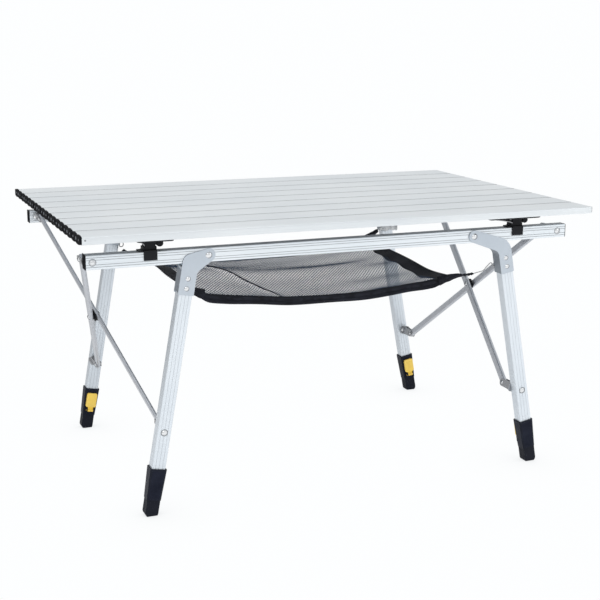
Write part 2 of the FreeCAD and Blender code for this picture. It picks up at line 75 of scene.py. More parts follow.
OUT = {"f": -1.0, "b": 1.0}               # y direction out of the table
WORD = {"f": "front", "b": "back"}
CORNERS = [end + side for side in "lr" for end in "fb"]

# The two ends of the table differ slightly.
# pivot_x: leg pivot; out: x direction out of the table; tilt: splay of the leg;
# axis_out: leg axis from the pivot; tube_top: top of the outer tube below the pivot;
# brace_down: bar pin down the leg; brace_x: bar pin at the rail
SIDES = {
    "l": SimpleNamespace(pivot_x=-0.292, out=-1.0, tilt=math.radians(9.9), axis_out=0.034,
                         tube_top=0.030, brace_down=0.3590, brace_x=-0.518),
    "r": SimpleNamespace(pivot_x=0.291, out=1.0, tilt=math.radians(10.5), axis_out=0.068,
                         tube_top=0.042, brace_down=0.3691, brace_x=0.495),
}


# ------------------------------------------------------------- node helpers
def fill(tree, target, inputs):
    """Sets a node's inputs; an input given a socket is linked to it."""
    for key, value in inputs.items():
        if isinstance(value, bpy.types.NodeSocket):
            tree.links.new(value, target.inputs[key])
        else:
            target.inputs[key].default_value = value


def add(tree, kind, inputs=None, **properties):
    new = tree.nodes.new(kind)
    for key, value in properties.items():
        setattr(new, key, value)
    fill(tree, new, inputs or {})
    return new


def new_material(name):
    material = bpy.data.materials.new(name)
    material.use_nodes = True
    tree = material.node_tree
    return material, tree, tree.nodes["Principled BSDF"]


def coords(tree, scale=(1, 1, 1)):
    """Object coordinates, scaled."""
    source = add(tree, "ShaderNodeTexCoord")
    mapping = add(tree, "ShaderNodeMapping",
                  {"Scale": scale, "Vector": source.outputs["Object"]})
    return mapping.outputs["Vector"]


def ramp(tree, factor, stops):
    """Colour ramp through (position, rgb) stops."""
    new = add(tree, "ShaderNodeValToRGB")
    elements = new.color_ramp.elements
    while len(elements) < len(stops):
        elements.new(0.5)
    for i, (position, colour) in enumerate(stops):
        elements[i].position = position
        elements[i].color = (*colour, 1)
    fill(tree, new, {"Fac": factor})
    return new.outputs["Color"]


def bump_from(tree, shader, height, strength, distance):
    bump = add(tree, "ShaderNodeBump",
               {"Strength": strength, "Distance": distance, "Height": height})
    fill(tree, shader, {"Normal": bump.outputs["Normal"]})


# ---------------------------------------------------------------- materials
def alu(name, value, rough, scale, metallic, tint=(1, 1, 1), bump=0.05, vary=0.05):
    """Satin aluminium or steel: fine drawn lines along one axis over broad tone changes."""
    material, tree, shader = new_material(name)
    lines = add(tree, "ShaderNodeTexNoise", {"Vector": coords(tree, scale), "Scale": 1.0,
                                             "Detail": 6.0, "Roughness": 0.6})
    broad = add(tree, "ShaderNodeTexNoise", {"Scale": 5.0, "Detail": 3.0})
    fill(tree, broad, {"Vector": coords(tree)})
    low, high = value * (1 - vary), value * (1 + vary)
    drawn = ramp(tree, lines.outputs["Fac"], [(0.30, [low * part for part in tint]),
                                              (0.70, [high * part for part in tint])])
    mix = add(tree, "ShaderNodeMixRGB", {"Fac": 1.0, "Color1": drawn}, blend_type="MULTIPLY")
    fill(tree, mix, {"Color2": ramp(tree, broad.outputs["Fac"],
                                    [(0.35, (0.93, 0.94, 0.95)), (0.65, (1, 1, 1))])})
    gloss = add(tree, "ShaderNodeMapRange",
                {"From Min": 0.3, "From Max": 0.7, "To Min": rough - 0.05,
                 "To Max": rough + 0.07, "Value": lines.outputs["Fac"]})
    fill(tree, shader, {"Metallic": metallic, "Base Color": mix.outputs["Color"],
                        "Roughness": gloss.outputs["Result"]})
    bump_from(tree, shader, lines.outputs["Fac"], strength=bump, distance=0.0003)
    return material


def painted_rim_shade(material):
    """Paints shade into a metal's colour towards grazing angles, so domed heads show a dark
    rim.
    """
    tree = material.node_tree
    shader = tree.nodes["Principled BSDF"]
    weight = add(tree, "ShaderNodeLayerWeight", {"Blend": 0.5})
    # painted shade: the colour darkens where the surface turns away from the view
    rim = ramp(tree, weight.outputs["Facing"],
               [(0.22, (1, 1, 1)), (0.62, (0.16, 0.17, 0.19))])
    base = shader.inputs["Base Color"].links[0].from_socket
    mix = add(tree, "ShaderNodeMixRGB", {"Fac": 1.0, "Color1": base, "Color2": rim},
              blend_type="MULTIPLY")
    fill(tree, shader, {"Base Color": mix.outputs["Color"]})


def plastic(name, colour, rough, grain=900.0, bump=0.12, edge=None, coat=0.0, spec=0.22):
    """Moulded plastic: fine grain, patchy tone and gloss, and a paler tone painted on sharp
    edges as a highlight.
    """
    material, tree, shader = new_material(name)
    vector = coords(tree)
    fine = add(tree, "ShaderNodeTexNoise", {"Scale": grain, "Detail": 3.0, "Vector": vector})
    patches = add(tree, "ShaderNodeTexNoise",
                  {"Scale": 40.0, "Detail": 4.0, "Vector": vector})
    paler = [min(1, part * 1.35 + 0.004) for part in colour]
    base = ramp(tree, patches.outputs["Fac"], [(0.35, colour), (0.7, paler)])
    geometry = add(tree, "ShaderNodeNewGeometry")
    # painted highlight: sharp edges, found by pointiness, take a paler colour
    edge_highlight_mask = ramp(tree, geometry.outputs["Pointiness"], [(0.54, (0, 0, 0)), (0.66, (1, 1, 1))])
    edge_highlight_colour = edge or [min(1, part * 1.3 + 0.003) for part in colour]
    mix = add(tree, "ShaderNodeMixRGB", {"Fac": edge_highlight_mask, "Color1": base, "Color2": (*edge_highlight_colour, 1)},
              blend_type="MIX")
    gloss = add(tree, "ShaderNodeMapRange", {"To Min": rough - 0.08, "To Max": rough + 0.10,
                                             "Value": patches.outputs["Fac"]})
    fill(tree, shader, {"Base Color": mix.outputs["Color"],
                        "Roughness": gloss.outputs["Result"], "Specular IOR Level": spec})
    bump_from(tree, shader, fine.outputs["Fac"], strength=bump, distance=0.0004)
    if coat:
        fill(tree, shader, {"Coat Weight": coat, "Coat Roughness": 0.15})
    return material


def webbing(name):
    """Black woven binding tape: crossed ribs, dusty crowns."""
    dark, crown = (0.0045, 0.0050, 0.0072), (0.0175, 0.0190, 0.0276)
    ribs_per_metre = 1400.0 / 6.2832
    material, tree, shader = new_material(name)
    vector = coords(tree)
    ribs = [add(tree, "ShaderNodeTexWave",
                {"Scale": ribs_per_metre, "Distortion": 0.6, "Vector": vector},
                wave_type="BANDS", bands_direction=axis).outputs["Fac"] for axis in "XY"]
    weave = add(tree, "ShaderNodeMath", {0: ribs[0], 1: ribs[1]}, operation="MULTIPLY")
    dust = add(tree, "ShaderNodeTexNoise", {"Scale": 30.0, "Detail": 4.0, "Vector": vector})
    tone = add(tree, "ShaderNodeMath",
               {0: weave.outputs[0], 1: 0.6, 2: dust.outputs["Fac"]},
               operation="MULTIPLY_ADD")
    fill(tree, shader, {
        "Base Color": ramp(tree, tone.outputs[0], [(0.35, dark), (1.0, crown)]),
        "Roughness": 0.72, "Sheen Weight": 0.02, "Sheen Roughness": 0.5,
        "Specular IOR Level": 0.12})
    bump_from(tree, shader, weave.outputs[0], strength=0.5, distance=0.0004)
    return material


# noise scales that stretch the drawn lines along each kind of tube
ALONG_SLAT, ALONG_RAIL, ALONG_LEG = (1.6, 420, 420), (2.5, 380, 380), (380, 380, 2.5)

M_SLAT = alu("slat_alu", value=0.74, tint=(0.950, 0.988, 1.012), rough=0.40,
             scale=ALONG_SLAT, bump=0.10, metallic=0.70)
M_RAIL = alu("rail_alu", value=0.80, tint=(0.930, 0.980, 1.02), rough=0.34,
             scale=ALONG_RAIL, bump=0.10, metallic=0.72)
M_LEG = alu("leg_alu", value=0.74, tint=(0.915, 0.975, 1.035), rough=0.36,
            scale=ALONG_LEG, bump=0.10, metallic=0.75)
# painted shade: darker copy of the bracket alu for its side faces
M_BRACKET_SIDE_SHADE = alu("bracket_side_shade_alu", value=0.30, tint=(0.88, 0.98, 1.10), rough=0.45,
                     scale=(140, 140, 140), metallic=0.6, vary=0.03)
M_BRACKET = alu("bracket_alu", value=0.55, tint=(0.895, 0.98, 1.075), rough=0.42,
                scale=(140, 140, 140), metallic=0.75, vary=0.03)
M_BAR = alu("bar_alu", value=0.60, tint=(0.96, 0.99, 1.05), rough=0.40,
            scale=(120, 30, 30), bump=0.08, metallic=0.80, vary=0.06)
M_SWIVEL = alu("swivel_steel", value=0.42, tint=(0.98, 0.99, 1.02), rough=0.38,
               scale=(160, 160, 160), bump=0.08, metallic=0.9)
M_RIVET = alu("rivet_chrome", value=0.72, tint=(0.99, 1.0, 1.01), rough=0.17,
              scale=(200, 200, 200), bump=0.03, metallic=1.0, vary=0.03)
M_WIRE = alu("wire_steel", value=0.40, rough=0.28, scale=(400, 400, 400), metallic=1.0)
# painted shade: dark rims on the rivet heads
painted_rim_shade(M_RIVET)
M_BLACK = plastic("black_plastic", (0.0055, 0.0062, 0.0085), rough=0.44, spec=0.14)
# edge: colour of the painted edge highlight
M_COLLAR = plastic("collar_plastic", (0.0070, 0.0090, 0.0185), rough=0.42, grain=700.0,
                   bump=0.15, edge=(0.013, 0.015, 0.022), spec=0.08)
M_FOOT = plastic("foot_rubber", (0.0050, 0.0062, 0.0115), rough=0.58, grain=500.0,
                 bump=0.25, spec=0.12)
# edge: colour of the painted edge highlight
M_YELLOW = plastic("yellow_plastic", (0.80, 0.50, 0.045), rough=0.34, grain=500.0,
                   bump=0.05, edge=(0.9, 0.66, 0.18), coat=0.3)
M_CAP = plastic("cap_plastic", (0.0045, 0.0050, 0.0068), rough=0.50, spec=0.015)
# the bosses' own grey, set pale enough to also stand in for a painted highlight speck on each
# cap
M_BOSS_GREY_AND_HIGHLIGHT = plastic("boss_grey_and_highlight", (0.15, 0.16, 0.18), rough=0.4)
# painted shade for the grooves in the legs
M_LEG_GROOVE_SHADE = alu("leg_groove_shade_alu", value=0.60, tint=(0.95, 0.99, 1.04), rough=0.42,
                scale=ALONG_LEG, metallic=0.6)
# painted shade in the rail grooves and painted shadow on the rails' upward faces; also the
# colour of the washers
M_SHADE_AND_WASHER_ALU = alu("shade_and_washer_alu", value=0.36, tint=(0.95, 1.0, 1.05), rough=0.45,
               scale=ALONG_RAIL, metallic=0.5)
plastic("grey_plastic", (0.10, 0.105, 0.11), rough=0.40)    # a spare: no piece wears it
M_WEB = webbing("binding_tape")
M_CORD = plastic("net_cord", (0.018, 0.036, 0.068), rough=0.62, grain=1800.0, bump=0.2,
                 spec=0.15)
M_PALE = plastic("pale_strap", (0.50, 0.51, 0.52), rough=0.6, bump=0.3)
# painted shade on the slat joints; also the colour of the left marks
M_SEAM_SHADE_AND_MARK = alu("slat_edge", value=0.15, tint=(0.96, 1.0, 1.05), rough=0.5,
             scale=ALONG_SLAT, metallic=0.4)


# ------------------------------------------------------------- mesh helpers
# A shape is a pair (vertices, faces).
def mesh_object(name, shape, material, angle=35):
    """Links a shape to the scene; edges sharper than angle stay crisp, None is flat shading."""
    verts, faces = shape
    mesh = bpy.data.meshes.new(name)
    mesh.from_pydata([tuple(map(float, vert)) for vert in verts], [],
                     [tuple(map(int, face)) for face in faces])
    mesh.validate()
    mesh.update()
    made = bpy.data.objects.new(name, mesh)
    scene.collection.objects.link(made)
    mesh.materials.append(material)
    if angle is not None:
        shade_smooth(mesh, math.radians(angle))
    return made


def shade_smooth(mesh, limit):
    for face in mesh.polygons:
        face.use_smooth = True
    work = bmesh.new()
    work.from_mesh(mesh)
    for edge in work.edges:
        edge.smooth = len(edge.link_faces) == 2 and edge.calc_face_angle(0) < limit
    work.to_mesh(mesh)
    work.free()


def bevel(target, width):
    modifier = target.modifiers.new("bevel", "BEVEL")
    modifier.width = width
    modifier.segments = 2
    modifier.limit_method = "ANGLE"
    modifier.angle_limit = math.radians(30)
    modifier.harden_normals = False


def paint(target, material, chosen):
    """Adds a second material and gives it to the faces for which chosen(face) holds."""
    target.data.materials.append(material)
    for face in target.data.polygons:
        if chosen(face):
            face.material_index = 1


def attach(part, body, slot, *nodes):
    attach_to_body(part, body)
    for name in nodes:
        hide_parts(name)


def join(shapes):
    all_verts, all_faces = [], []
    for verts, faces in shapes:
        start = len(all_verts)
        all_verts += [tuple(vert) for vert in verts]
        all_faces += [tuple(i + start for i in face) for face in faces]
    return all_verts, all_faces


def face_count(shapes):
    return sum(len(faces) for _, faces in shapes)


def loft(rings, flip=False):
    """Skins equal-length closed rings and caps both ends; flip turns every ring round."""
    if flip:
        rings = [ring[::-1] for ring in rings]
    size = len(rings[0])
    verts = [tuple(point) for ring in rings for point in ring]
    faces = []
    for k in range(len(rings) - 1):
        for i in range(size):
            j = (i + 1) % size
            faces.append((k * size + i, k * size + j,
                          (k + 1) * size + j, (k + 1) * size + i))
    faces.append(tuple(range(size))[::-1])
    faces.append(tuple(range((len(rings) - 1) * size, len(rings) * size)))
    return verts, faces


def arc(centre_x, centre_y, radius, start, segments):
    """A quarter turn from the start angle, in degrees."""
    points = []
    for k in range(segments + 1):
        angle = math.radians(start + 90 * k / segments)
        points.append((centre_x + radius * math.cos(angle),
                       centre_y + radius * math.sin(angle)))
    return points


def rounded_rect(width, height, radius, segments=4):
    x, y = width / 2 - radius, height / 2 - radius
    return (arc(x, y, radius, 0, segments) + arc(-x, y, radius, 90, segments)
            + arc(-x, -y, radius, 180, segments) + arc(x, -y, radius, 270, segments))


def circle(side_a, side_b, segments):
    """Unit circle spanned by two vectors."""
    angles = [2 * math.pi * k / segments for k in range(segments)]
    return [side_a * math.cos(angle) + side_b * math.sin(angle) for angle in angles]


def revolve(profile, centre, axis, segments=24):
    """Turns a profile of (radius, height along the axis from the centre)."""
    axis = Vector(axis).normalized()
    side = axis.orthogonal().normalized()
    around = circle(side, axis.cross(side), segments)
    return loft([[Vector(centre) + axis * height + spoke * max(radius, 1e-5)
                  for spoke in around] for radius, height in profile])


def tangent(points, i):
    return (points[min(i + 1, len(points) - 1)] - points[max(i - 1, 0)]).normalized()


def tube_along(path, radius, segments=8):
    """Round cord along a polyline; the radius may be a list with one value per point."""
    points = [Vector(point) for point in path]
    rings = []
    side = None
    for i, point in enumerate(points):
        ahead = tangent(points, i)
        if side is None:
            side = ahead.orthogonal().normalized()
        else:
            side = (side - ahead * side.dot(ahead)).normalized()
        thick = radius[i] if isinstance(radius, list) else radius
        rings.append([point + spoke * thick
                      for spoke in circle(side, ahead.cross(side), segments)])
    return loft(rings)


def smooth_path(points, steps=8):
    """Catmull-Rom polyline through points."""
    knots = [Vector(point) for point in points]
    knots = [knots[0] * 2 - knots[1]] + knots + [knots[-1] * 2 - knots[-2]]
    path = []
    for i in range(1, len(knots) - 2):
        before, here, after, beyond = knots[i - 1:i + 3]
        for k in range(steps):
            t = k / steps
            path.append(0.5 * ((2 * here) + (after - before) * t
                               + (2 * before - 5 * here + 4 * after - beyond) * t * t
                               + (3 * here - before - 3 * after + beyond) * t ** 3))
    path.append(knots[-2])
    return path


# --------------------------------------------------------- leg geometry
def leg_point(side, outward, down, y=0.0):
    """Point in the leg's tilted frame, measured from the pivot."""
    sine, cosine = math.sin(side.tilt), math.cos(side.tilt)
    return Vector((side.pivot_x + side.out * (outward * cosine + down * sine), y,
                   RAIL_Z + outward * sine - down * cosine))


def leg_frame(side, end_out):
    """Local x outward, y out of the table, z up the leg; origin level with the pivot."""
    sine, cosine = math.sin(side.tilt), math.cos(side.tilt)
    origin = leg_point(side, side.axis_out, 0.0, end_out * RAIL_Y)
    return Matrix(((side.out * cosine, 0, -side.out * sine, origin.x),
                   (0, end_out, 0, origin.y),
                   (sine, 0, cosine, origin.z),
                   (0, 0, 0, 1)))


def ground_distance(side):
    """Length down the leg axis from the pivot's level to the ground."""
    return (RAIL_Z + side.axis_out * math.sin(side.tilt)) / math.cos(side.tilt)


# ------------------------------------------------------- carried-over CAD nodes
def dress(name, material, bevel_width=0.0):
    target = NODES[name]
    target.data.materials.clear()
    target.data.materials.append(material)
    if bevel_width:
        bevel(target, bevel_width)


def dress_bracket_side_shade(name):
    """Paints shade on the bracket: faces that don't look to the front or back take the darker
    material.
    """
    target = NODES[name]
    turn = target.matrix_world.to_3x3()
    paint(target, M_BRACKET_SIDE_SHADE, lambda face: abs((turn @ face.normal).y) < 0.5)


# node name before the corner, material, bevel width
CORNER_NODES = (
    ("leg_tube_", M_LEG, 0.0), ("inner_tube_", M_LEG, 0.0),
    ("elbow_bracket_", M_BRACKET, 0.0004), ("leg_rivets_", M_RIVET, 0.0),
    ("rail_swivel_", M_SWIVEL, 0.0003), ("leg_swivel_", M_SWIVEL, 0.0003),
    ("lock_collar_", M_COLLAR, 0.0005), ("latch_lever_", M_YELLOW, 0.0006),
    ("foot_", M_FOOT, 0.0006), ("brace_bar_", M_BAR, 0.0004),
)

for word in WORD.values():
    dress(word + "_rail", M_RAIL, 0.0004)
    for piece in ("_rail_caps", "_saddles", "_clips"):
        dress(word + piece, M_BLACK, 0.0006)
for corner in CORNERS:
    for start, material, bevel_width in CORNER_NODES:
        dress(start + corner, material, bevel_width)
    dress_bracket_side_shade("elbow_bracket_" + corner)
for k in range(1, SLATS + 1):
    dress("slat_%d" % k, M_SLAT)
dress("storage_net", M_CORD)
dress("net_hooks", M_WIRE)

# -------------------------------------------------------------- slatted top
SLAT_GAP = 0.0005
SLAT_R_TOP, SLAT_R_BOTTOM = 0.0022, 0.0012
# underside groove: y from its middle, depth
SLAT_GROOVE = ((-0.003, 0.0), (-0.0022, 0.0012), (0.0022, 0.0012), (0.003, 0.0))
# small round mark on the long faces: radius, height
SLAT_MARK = ((0.0, 0.0003), (0.0012, 0.0003), (0.0016, 0.0001), (0.0017, -0.0005))
SLAT_MARK_INSET, SLAT_MARK_UP = 0.006, 0.0085
# round bosses on the cap face: y from the slat's middle, radius
CAP_BOSSES = ((-0.0035, 0.0026), (0.0215, 0.0018), (-0.0265, 0.0015))


def slat_section(y_front, y_back):
    """Rounded section in (y, z) with two shallow grooves in the underside."""
    top, low = SLAT_R_TOP, SLAT_R_BOTTOM
    upper = (arc(y_back - top, SLAT_TOP - top, top, 0, 5)
             + arc(y_front + top, SLAT_TOP - top, top, 90, 5))
    flat_start, flat_end = y_front + low, y_back - low
    grooves = []
    for share in (0.3, 0.7):
        middle = flat_start + (flat_end - flat_start) * share
        grooves += [(middle + dy, SLAT_BOTTOM + depth) for dy, depth in SLAT_GROOVE]
    return (upper + arc(flat_start, SLAT_BOTTOM + low, low, 180, 5) + grooves
            + arc(flat_end, SLAT_BOTTOM + low, low, 270, 5))


def slat_body(k, y_front, y_back):
    section = slat_section(y_front, y_back)
    body = loft([[(x, y, z) for y, z in section]
                 for x in np.linspace(-SLAT_END, SLAT_END_RIGHT, 9)])
    mark_x = SLAT_END - SLAT_MARK_INSET
    marks = [revolve(SLAT_MARK, (x, y, SLAT_BOTTOM + SLAT_MARK_UP), (0, facing, 0), 12)
             for x in (-mark_x, mark_x) for y, facing in ((y_front, -1), (y_back, 1))]
    slat = mesh_object("slat_body_%d" % k, join([body] + marks), M_SLAT, 40)
    body_faces = len(body[1])

    def is_dark(face):
        """The left marks, in their own darker colour, and painted shade on the joints between
        slats but not the table's outer edges.
        """
        if face.index >= body_faces and face.center.x < 0:
            return True
        y = face.center.y
        near_edge = min(y - y_front, y_back - y) < 0.0019
        outer_edge = (k == 1 and y < y_front + 0.01) or (k == SLATS and y > y_back - 0.01)
        return near_edge and face.center.z < SLAT_TOP - 0.00015 and not outer_edge

    # painted shade along the joints between slats
    paint(slat, M_SEAM_SHADE_AND_MARK, is_dark)
    attach(slat, "top_%d" % k, "slats", "slat_%d" % k)


def cap_outline(y_front, y_back, hump):
    """Cap outline in (y, z), with two low humps above and two below."""
    outline = []
    for i in range(41):
        share = i / 40
        y = y_back - 0.0002 - (y_back - y_front - 0.0004) * share
        rise = hump * abs(math.sin(2 * math.pi * share)) ** 0.6
        shoulder = min(1.0, min(share, 1 - share) / 0.03)
        outline.append((y, SLAT_TOP - 0.0008 + rise + 0.0005 * shoulder))
    outline.append((y_front + 0.0002, SLAT_BOTTOM + 0.0022))
    for i in range(25):
        share = i / 24
        outline.append((y_front + 0.0012 + (y_back - y_front - 0.0024) * share,
                        SLAT_BOTTOM + 0.0012
                        - 0.0022 * abs(math.sin(2 * math.pi * share)) ** 0.6))
    outline.append((y_back - 0.0002, SLAT_BOTTOM + 0.0022))
    return outline


def slat_caps(k, y_front, y_back):
    """Black caps on both ends; only the left ones have humps above the top."""
    middle_y = (y_front + y_back) / 2
    middle_z = (SLAT_BOTTOM + SLAT_TOP) / 2
    caps, bosses = [], []
    for out, start, hump in ((-1, -0.0005, 0.0026), (1, 0.0022, 0.0)):
        outline = cap_outline(y_front, y_back, hump)
        # scale of the outline, distance beyond the slat end
        rows = ((1.0, start), (1.0, 0.0030), (0.985, 0.0038), (0.93, 0.0040),
                (0.90, 0.0034))
        caps.append(loft([[(out * (SLAT_END + beyond), middle_y + (y - middle_y) * scale,
                            middle_z + (z - middle_z) * scale) for y, z in outline]
                          for scale, beyond in rows], flip=out < 0))
        for dy, radius in CAP_BOSSES:
            profile = [(radius * 1.25, -0.0003), (radius * 1.2, 0.0003), (radius, 0.0005),
                       (radius * 0.55, 0.0005), (radius * 0.5, 0.0002), (0.0, 0.0002)]
            bosses.append(revolve(profile, (out * (SLAT_END + 0.0034), middle_y + dy,
                                            middle_z + 0.0012), (out, 0, 0), 16))
    made = mesh_object("slat_caps_%d" % k, join(caps + bosses), M_CAP)
    first_boss = face_count(caps)
    # grey bosses: part colour, part painted highlight
    paint(made, M_BOSS_GREY_AND_HIGHLIGHT, lambda face: face.index >= first_boss)
    attach(made, "top_%d" % k, "rail_caps")


for k in range(1, SLATS + 1):
    y_front = -TOP_DEPTH / 2 + PITCH * (k - 1) + SLAT_GAP / 2
    y_back = y_front + PITCH - SLAT_GAP
    slat_body(k, y_front, y_back)
    slat_caps(k, y_front, y_back)

# ---------------------------------------------------------------- top clips
CLIP_X = (-0.407, 0.395)
PLATE_Y, PLATE_DEPTH = 0.3135, 0.067
# base plate: z, scale
PLATE_ROWS = ((SLAT_BOTTOM, 1.0), (SLAT_BOTTOM - 0.0022, 1.0), (SLAT_BOTTOM - 0.0030, 0.96))
# housing, wide at the top and narrowing to a tongue: x from, x to, drop below the slats
HOUSING = (
    (-0.0140, 0.0120, 0.0029), (-0.0140, 0.0118, 0.0075), (-0.0115, 0.0116, 0.0105),
    (-0.0100, 0.0105, 0.0140), (-0.0100, 0.0100, 0.0250),
)
# knob arm outline: x from the clip, z
KNOB_ARM = (
    (0.0100, SLAT_BOTTOM - 0.0030), (0.0170, SLAT_BOTTOM - 0.0030),
    (0.0235, SLAT_BOTTOM - 0.0085), (0.0235, 0.5440), (0.0165, 0.5420), (0.0100, 0.5440),
)
KNOB_X, KNOB_Z, KNOB_SIDES = 0.0200, 0.5462, 36
KNOB_FACE = 0.0104
# knob: y from the rail's middle, radius
KNOB = ((-0.0115, 0.0052), (-0.0110, 0.0062), (-0.0090, 0.0067), (0.0080, 0.0067),
        (0.0098, 0.0062), (KNOB_FACE, 0.0050))
# recessed hub on the knob's outer face: radius, height
KNOB_HUB = ((0.0040, -0.0002), (0.0040, 0.0008), (0.0032, 0.0011), (0.0018, 0.0011),
            (0.0015, 0.0004), (0.0, 0.0004))
LEVER_T, LEVER_Y = 0.0011, 0.2850
HOUSING_SIDE = -0.0140      # lever edge at the housing, x from the clip
# Per side: plate length and shift, lever's outer y, its cut-back, and its lower line as
# x from the clip, drop below the slats
CLIP_FORMS = {
    "l": SimpleNamespace(length=0.070, shift=0.0, lever_end=0.3360, cut=0.022 * 0.25, line=(
        (-0.0300, 0.0032), (-0.0240, 0.0060), (-0.0170, 0.0100), (HOUSING_SIDE, 0.0120))),
    "r": SimpleNamespace(length=0.122, shift=-0.031, lever_end=0.3420, cut=0.022, line=(
        (-0.0820, 0.0030), (-0.0620, 0.0060), (-0.0420, 0.0095), (HOUSING_SIDE, 0.0120))),
}


def clip_body(x, end, side):
    """Black clip under the top: plate, housing, arm and a ribbed knob."""
    out, form = OUT[end], CLIP_FORMS[side]
    plate_x = x + form.shift
    outline = rounded_rect(form.length, PLATE_DEPTH, 0.005)
    plate = [[(plate_x + dx * scale, out * (PLATE_Y + dy * scale), z) for dx, dy in outline]
             for z, scale in PLATE_ROWS]
    housing = []
    for left, right, drop in HOUSING:
        octagon = ((left, -0.0100), (right, -0.0100), (right + 0.0006, -0.0090),
                   (right + 0.0006, 0.0090), (right, 0.0100), (left, 0.0100),
                   (left - 0.0006, 0.0090), (left - 0.0006, -0.0090))
        housing.append([(x + dx, out * (RAIL_Y + dy), SLAT_BOTTOM - drop)
                        for dx, dy in octagon])
    arm = [[(x + dx, out * (RAIL_Y + dy), z) for dx, z in KNOB_ARM]
           for dy in (-0.0085, 0.0078)]
    knob = []
    for dy, radius in KNOB:
        ring = []
        for i in range(KNOB_SIDES):
            angle = 2 * math.pi * i / KNOB_SIDES
            ribbed = radius * (1.0 + (0.035 if i % 3 == 0 else -0.02))
            ring.append((x + KNOB_X + ribbed * math.cos(angle), out * (RAIL_Y + dy),
                         KNOB_Z + ribbed * math.sin(angle)))
        knob.append(ring)
    shapes = [loft(rings, flip=out < 0) for rings in (plate, housing, arm, knob)]
    shapes.append(revolve(KNOB_HUB, (x + KNOB_X, out * (RAIL_Y + KNOB_FACE), KNOB_Z),
                          (0, out, 0), 20))
    made = mesh_object("clip_%s_%s" % (end, side), join(shapes), M_BLACK)
    attach(made, END_SLAT[end], "clips", WORD[end] + "_clips")


def clip_lever(x, end, side):
    """Steel lever: a bent strip from the housing up to the plate, with a round pin."""
    out, form = OUT[end], CLIP_FORMS[side]
    line = [(dx, SLAT_BOTTOM - drop) for dx, drop in form.line]
    outline = line + [(dx, z + LEVER_T) for dx, z in line][::-1]
    rings = []
    for k, y in enumerate(np.linspace(LEVER_Y, form.lever_end, 6)):
        # the edge by the housing is cut back more and more towards the outer end
        limit = x + HOUSING_SIDE - form.cut * k / 5
        rings.append([(min(x + dx, limit), out * y, z) for dx, z in outline])
    pin = [(x - 0.0150, out * y, SLAT_BOTTOM - 0.0108) for y in (0.2835, 0.3015)]
    shape = join([loft(rings, flip=out < 0), tube_along(pin, 0.0014, 10)])
    made = mesh_object("clip_lever_%s_%s" % (end, side), shape, M_SWIVEL, 30)
    attach(made, END_SLAT[end], "clips")


END_SLAT = {"f": "top_1", "b": "top_%d" % SLATS}
for end in "fb":
    for side, x in zip("lr", CLIP_X):
        clip_body(x, end, side)
        clip_lever(x, end, side)

# --------------------------------------------------------------- brace bars
# bar end: distance from the pin, share of width, share of thickness
BAR_END = (
    (-BAR_W / 2 + 0.0002, 0.25, 0.80), (-BAR_W / 2 * 0.86, 0.55, 0.95),
    (-BAR_W / 2 * 0.5, 0.86, 1.0), (0.0, 1.0, 1.0), (0.012, 1.0, 1.0), (0.020, 1.0, 1.0),
)
# rivet heads: radius, height
BAR_DOME = ((0.0054, -0.0001), (0.0054, 0.0004), (0.0048, 0.0015), (0.0035, 0.0023),
            (0.0018, 0.0027), (0.0, 0.0028))
PIN_DOME = ((0.0050, -0.0001), (0.0050, 0.0004), (0.0044, 0.0014), (0.0031, 0.0021),
            (0.0016, 0.0025), (0.0, 0.0026))
OUTER_HEADS = {
    "rail": ((0.0062, -0.0003), (0.0062, 0.0005), (0.0054, 0.0013), (0.0047, 0.0013),
             (0.0044, 0.0009), (0.0030, 0.0016), (0.0, 0.0019)),
    "leg": ((0.0064, -0.0003), (0.0064, 0.0005), (0.0057, 0.0018), (0.0042, 0.0028),
            (0.0022, 0.0034), (0.0, 0.0035)),
}
HEAD_WASHER = ((0.0074, -0.0003), (0.0074, 0.0002), (0.0070, 0.0004), (0.0050, 0.0004))
LEAF_HALF, LEAF_T, LEAF_GAP = 0.0085, 0.0020, 0.0002
LEAF_ROOT_Y = 0.2785
# clevis foot: size along the slope-normal before flattening, size along the slope
CLEVIS_FOOT = {"rail": (0.022, 0.018), "leg": (0.030, 0.021)}


def brace(side_name, front):
    """Line of one bar, from its rail pin to its leg pin at the other side of the table.
    slope is the bar's direction seen from the front, normal the way off the bars' plane."""
    side = SIDES[side_name]
    out = -1.0 if front else 1.0
    low = leg_point(side, side.axis_out, side.brace_down)
    high = Vector((side.brace_x, 0, RAIL_Z))
    slope = Vector((low.x - high.x, 0, low.z - high.z)).normalized()
    normal = Vector((-slope.z, 0, slope.x))
    if normal.x * -side.out <= 0:
        normal = -normal
    layer = -BAR_LAYER if front else BAR_LAYER
    start = Vector((high.x, out * PIN_Y, high.z)) + normal * layer
    stop = Vector((low.x, -out * PIN_Y, low.z)) + normal * layer
    along = (stop - start).normalized()
    return SimpleNamespace(start=start, stop=stop, along=along, across=normal.cross(along),
                           normal=normal, length=(stop - start).length, slope=slope,
                           layer=layer, out=out)


def bar_tube(line, corner):
    """Flat-oval tube with its ends pressed to a rounded tongue."""
    stations = (list(BAR_END)
                + [(line.length * share, 1.0, 1.0) for share in np.linspace(0.08, 0.92, 9)]
                + [(line.length - x, wide, thick) for x, wide, thick in BAR_END[::-1]])
    rings = []
    for x, wide, thick in stations:
        width, height = BAR_W * wide, BAR_T * thick
        section = rounded_rect(width, height, min(height, width) * 0.485, 5)
        rings.append([line.start + line.along * x + line.across * dx + line.normal * dy
                      for dx, dy in section])
    tube = mesh_object("bar_tube_" + corner, loft(rings), M_BAR, 40)
    attach(tube, "bar_" + corner, "bars", "brace_bar_" + corner)


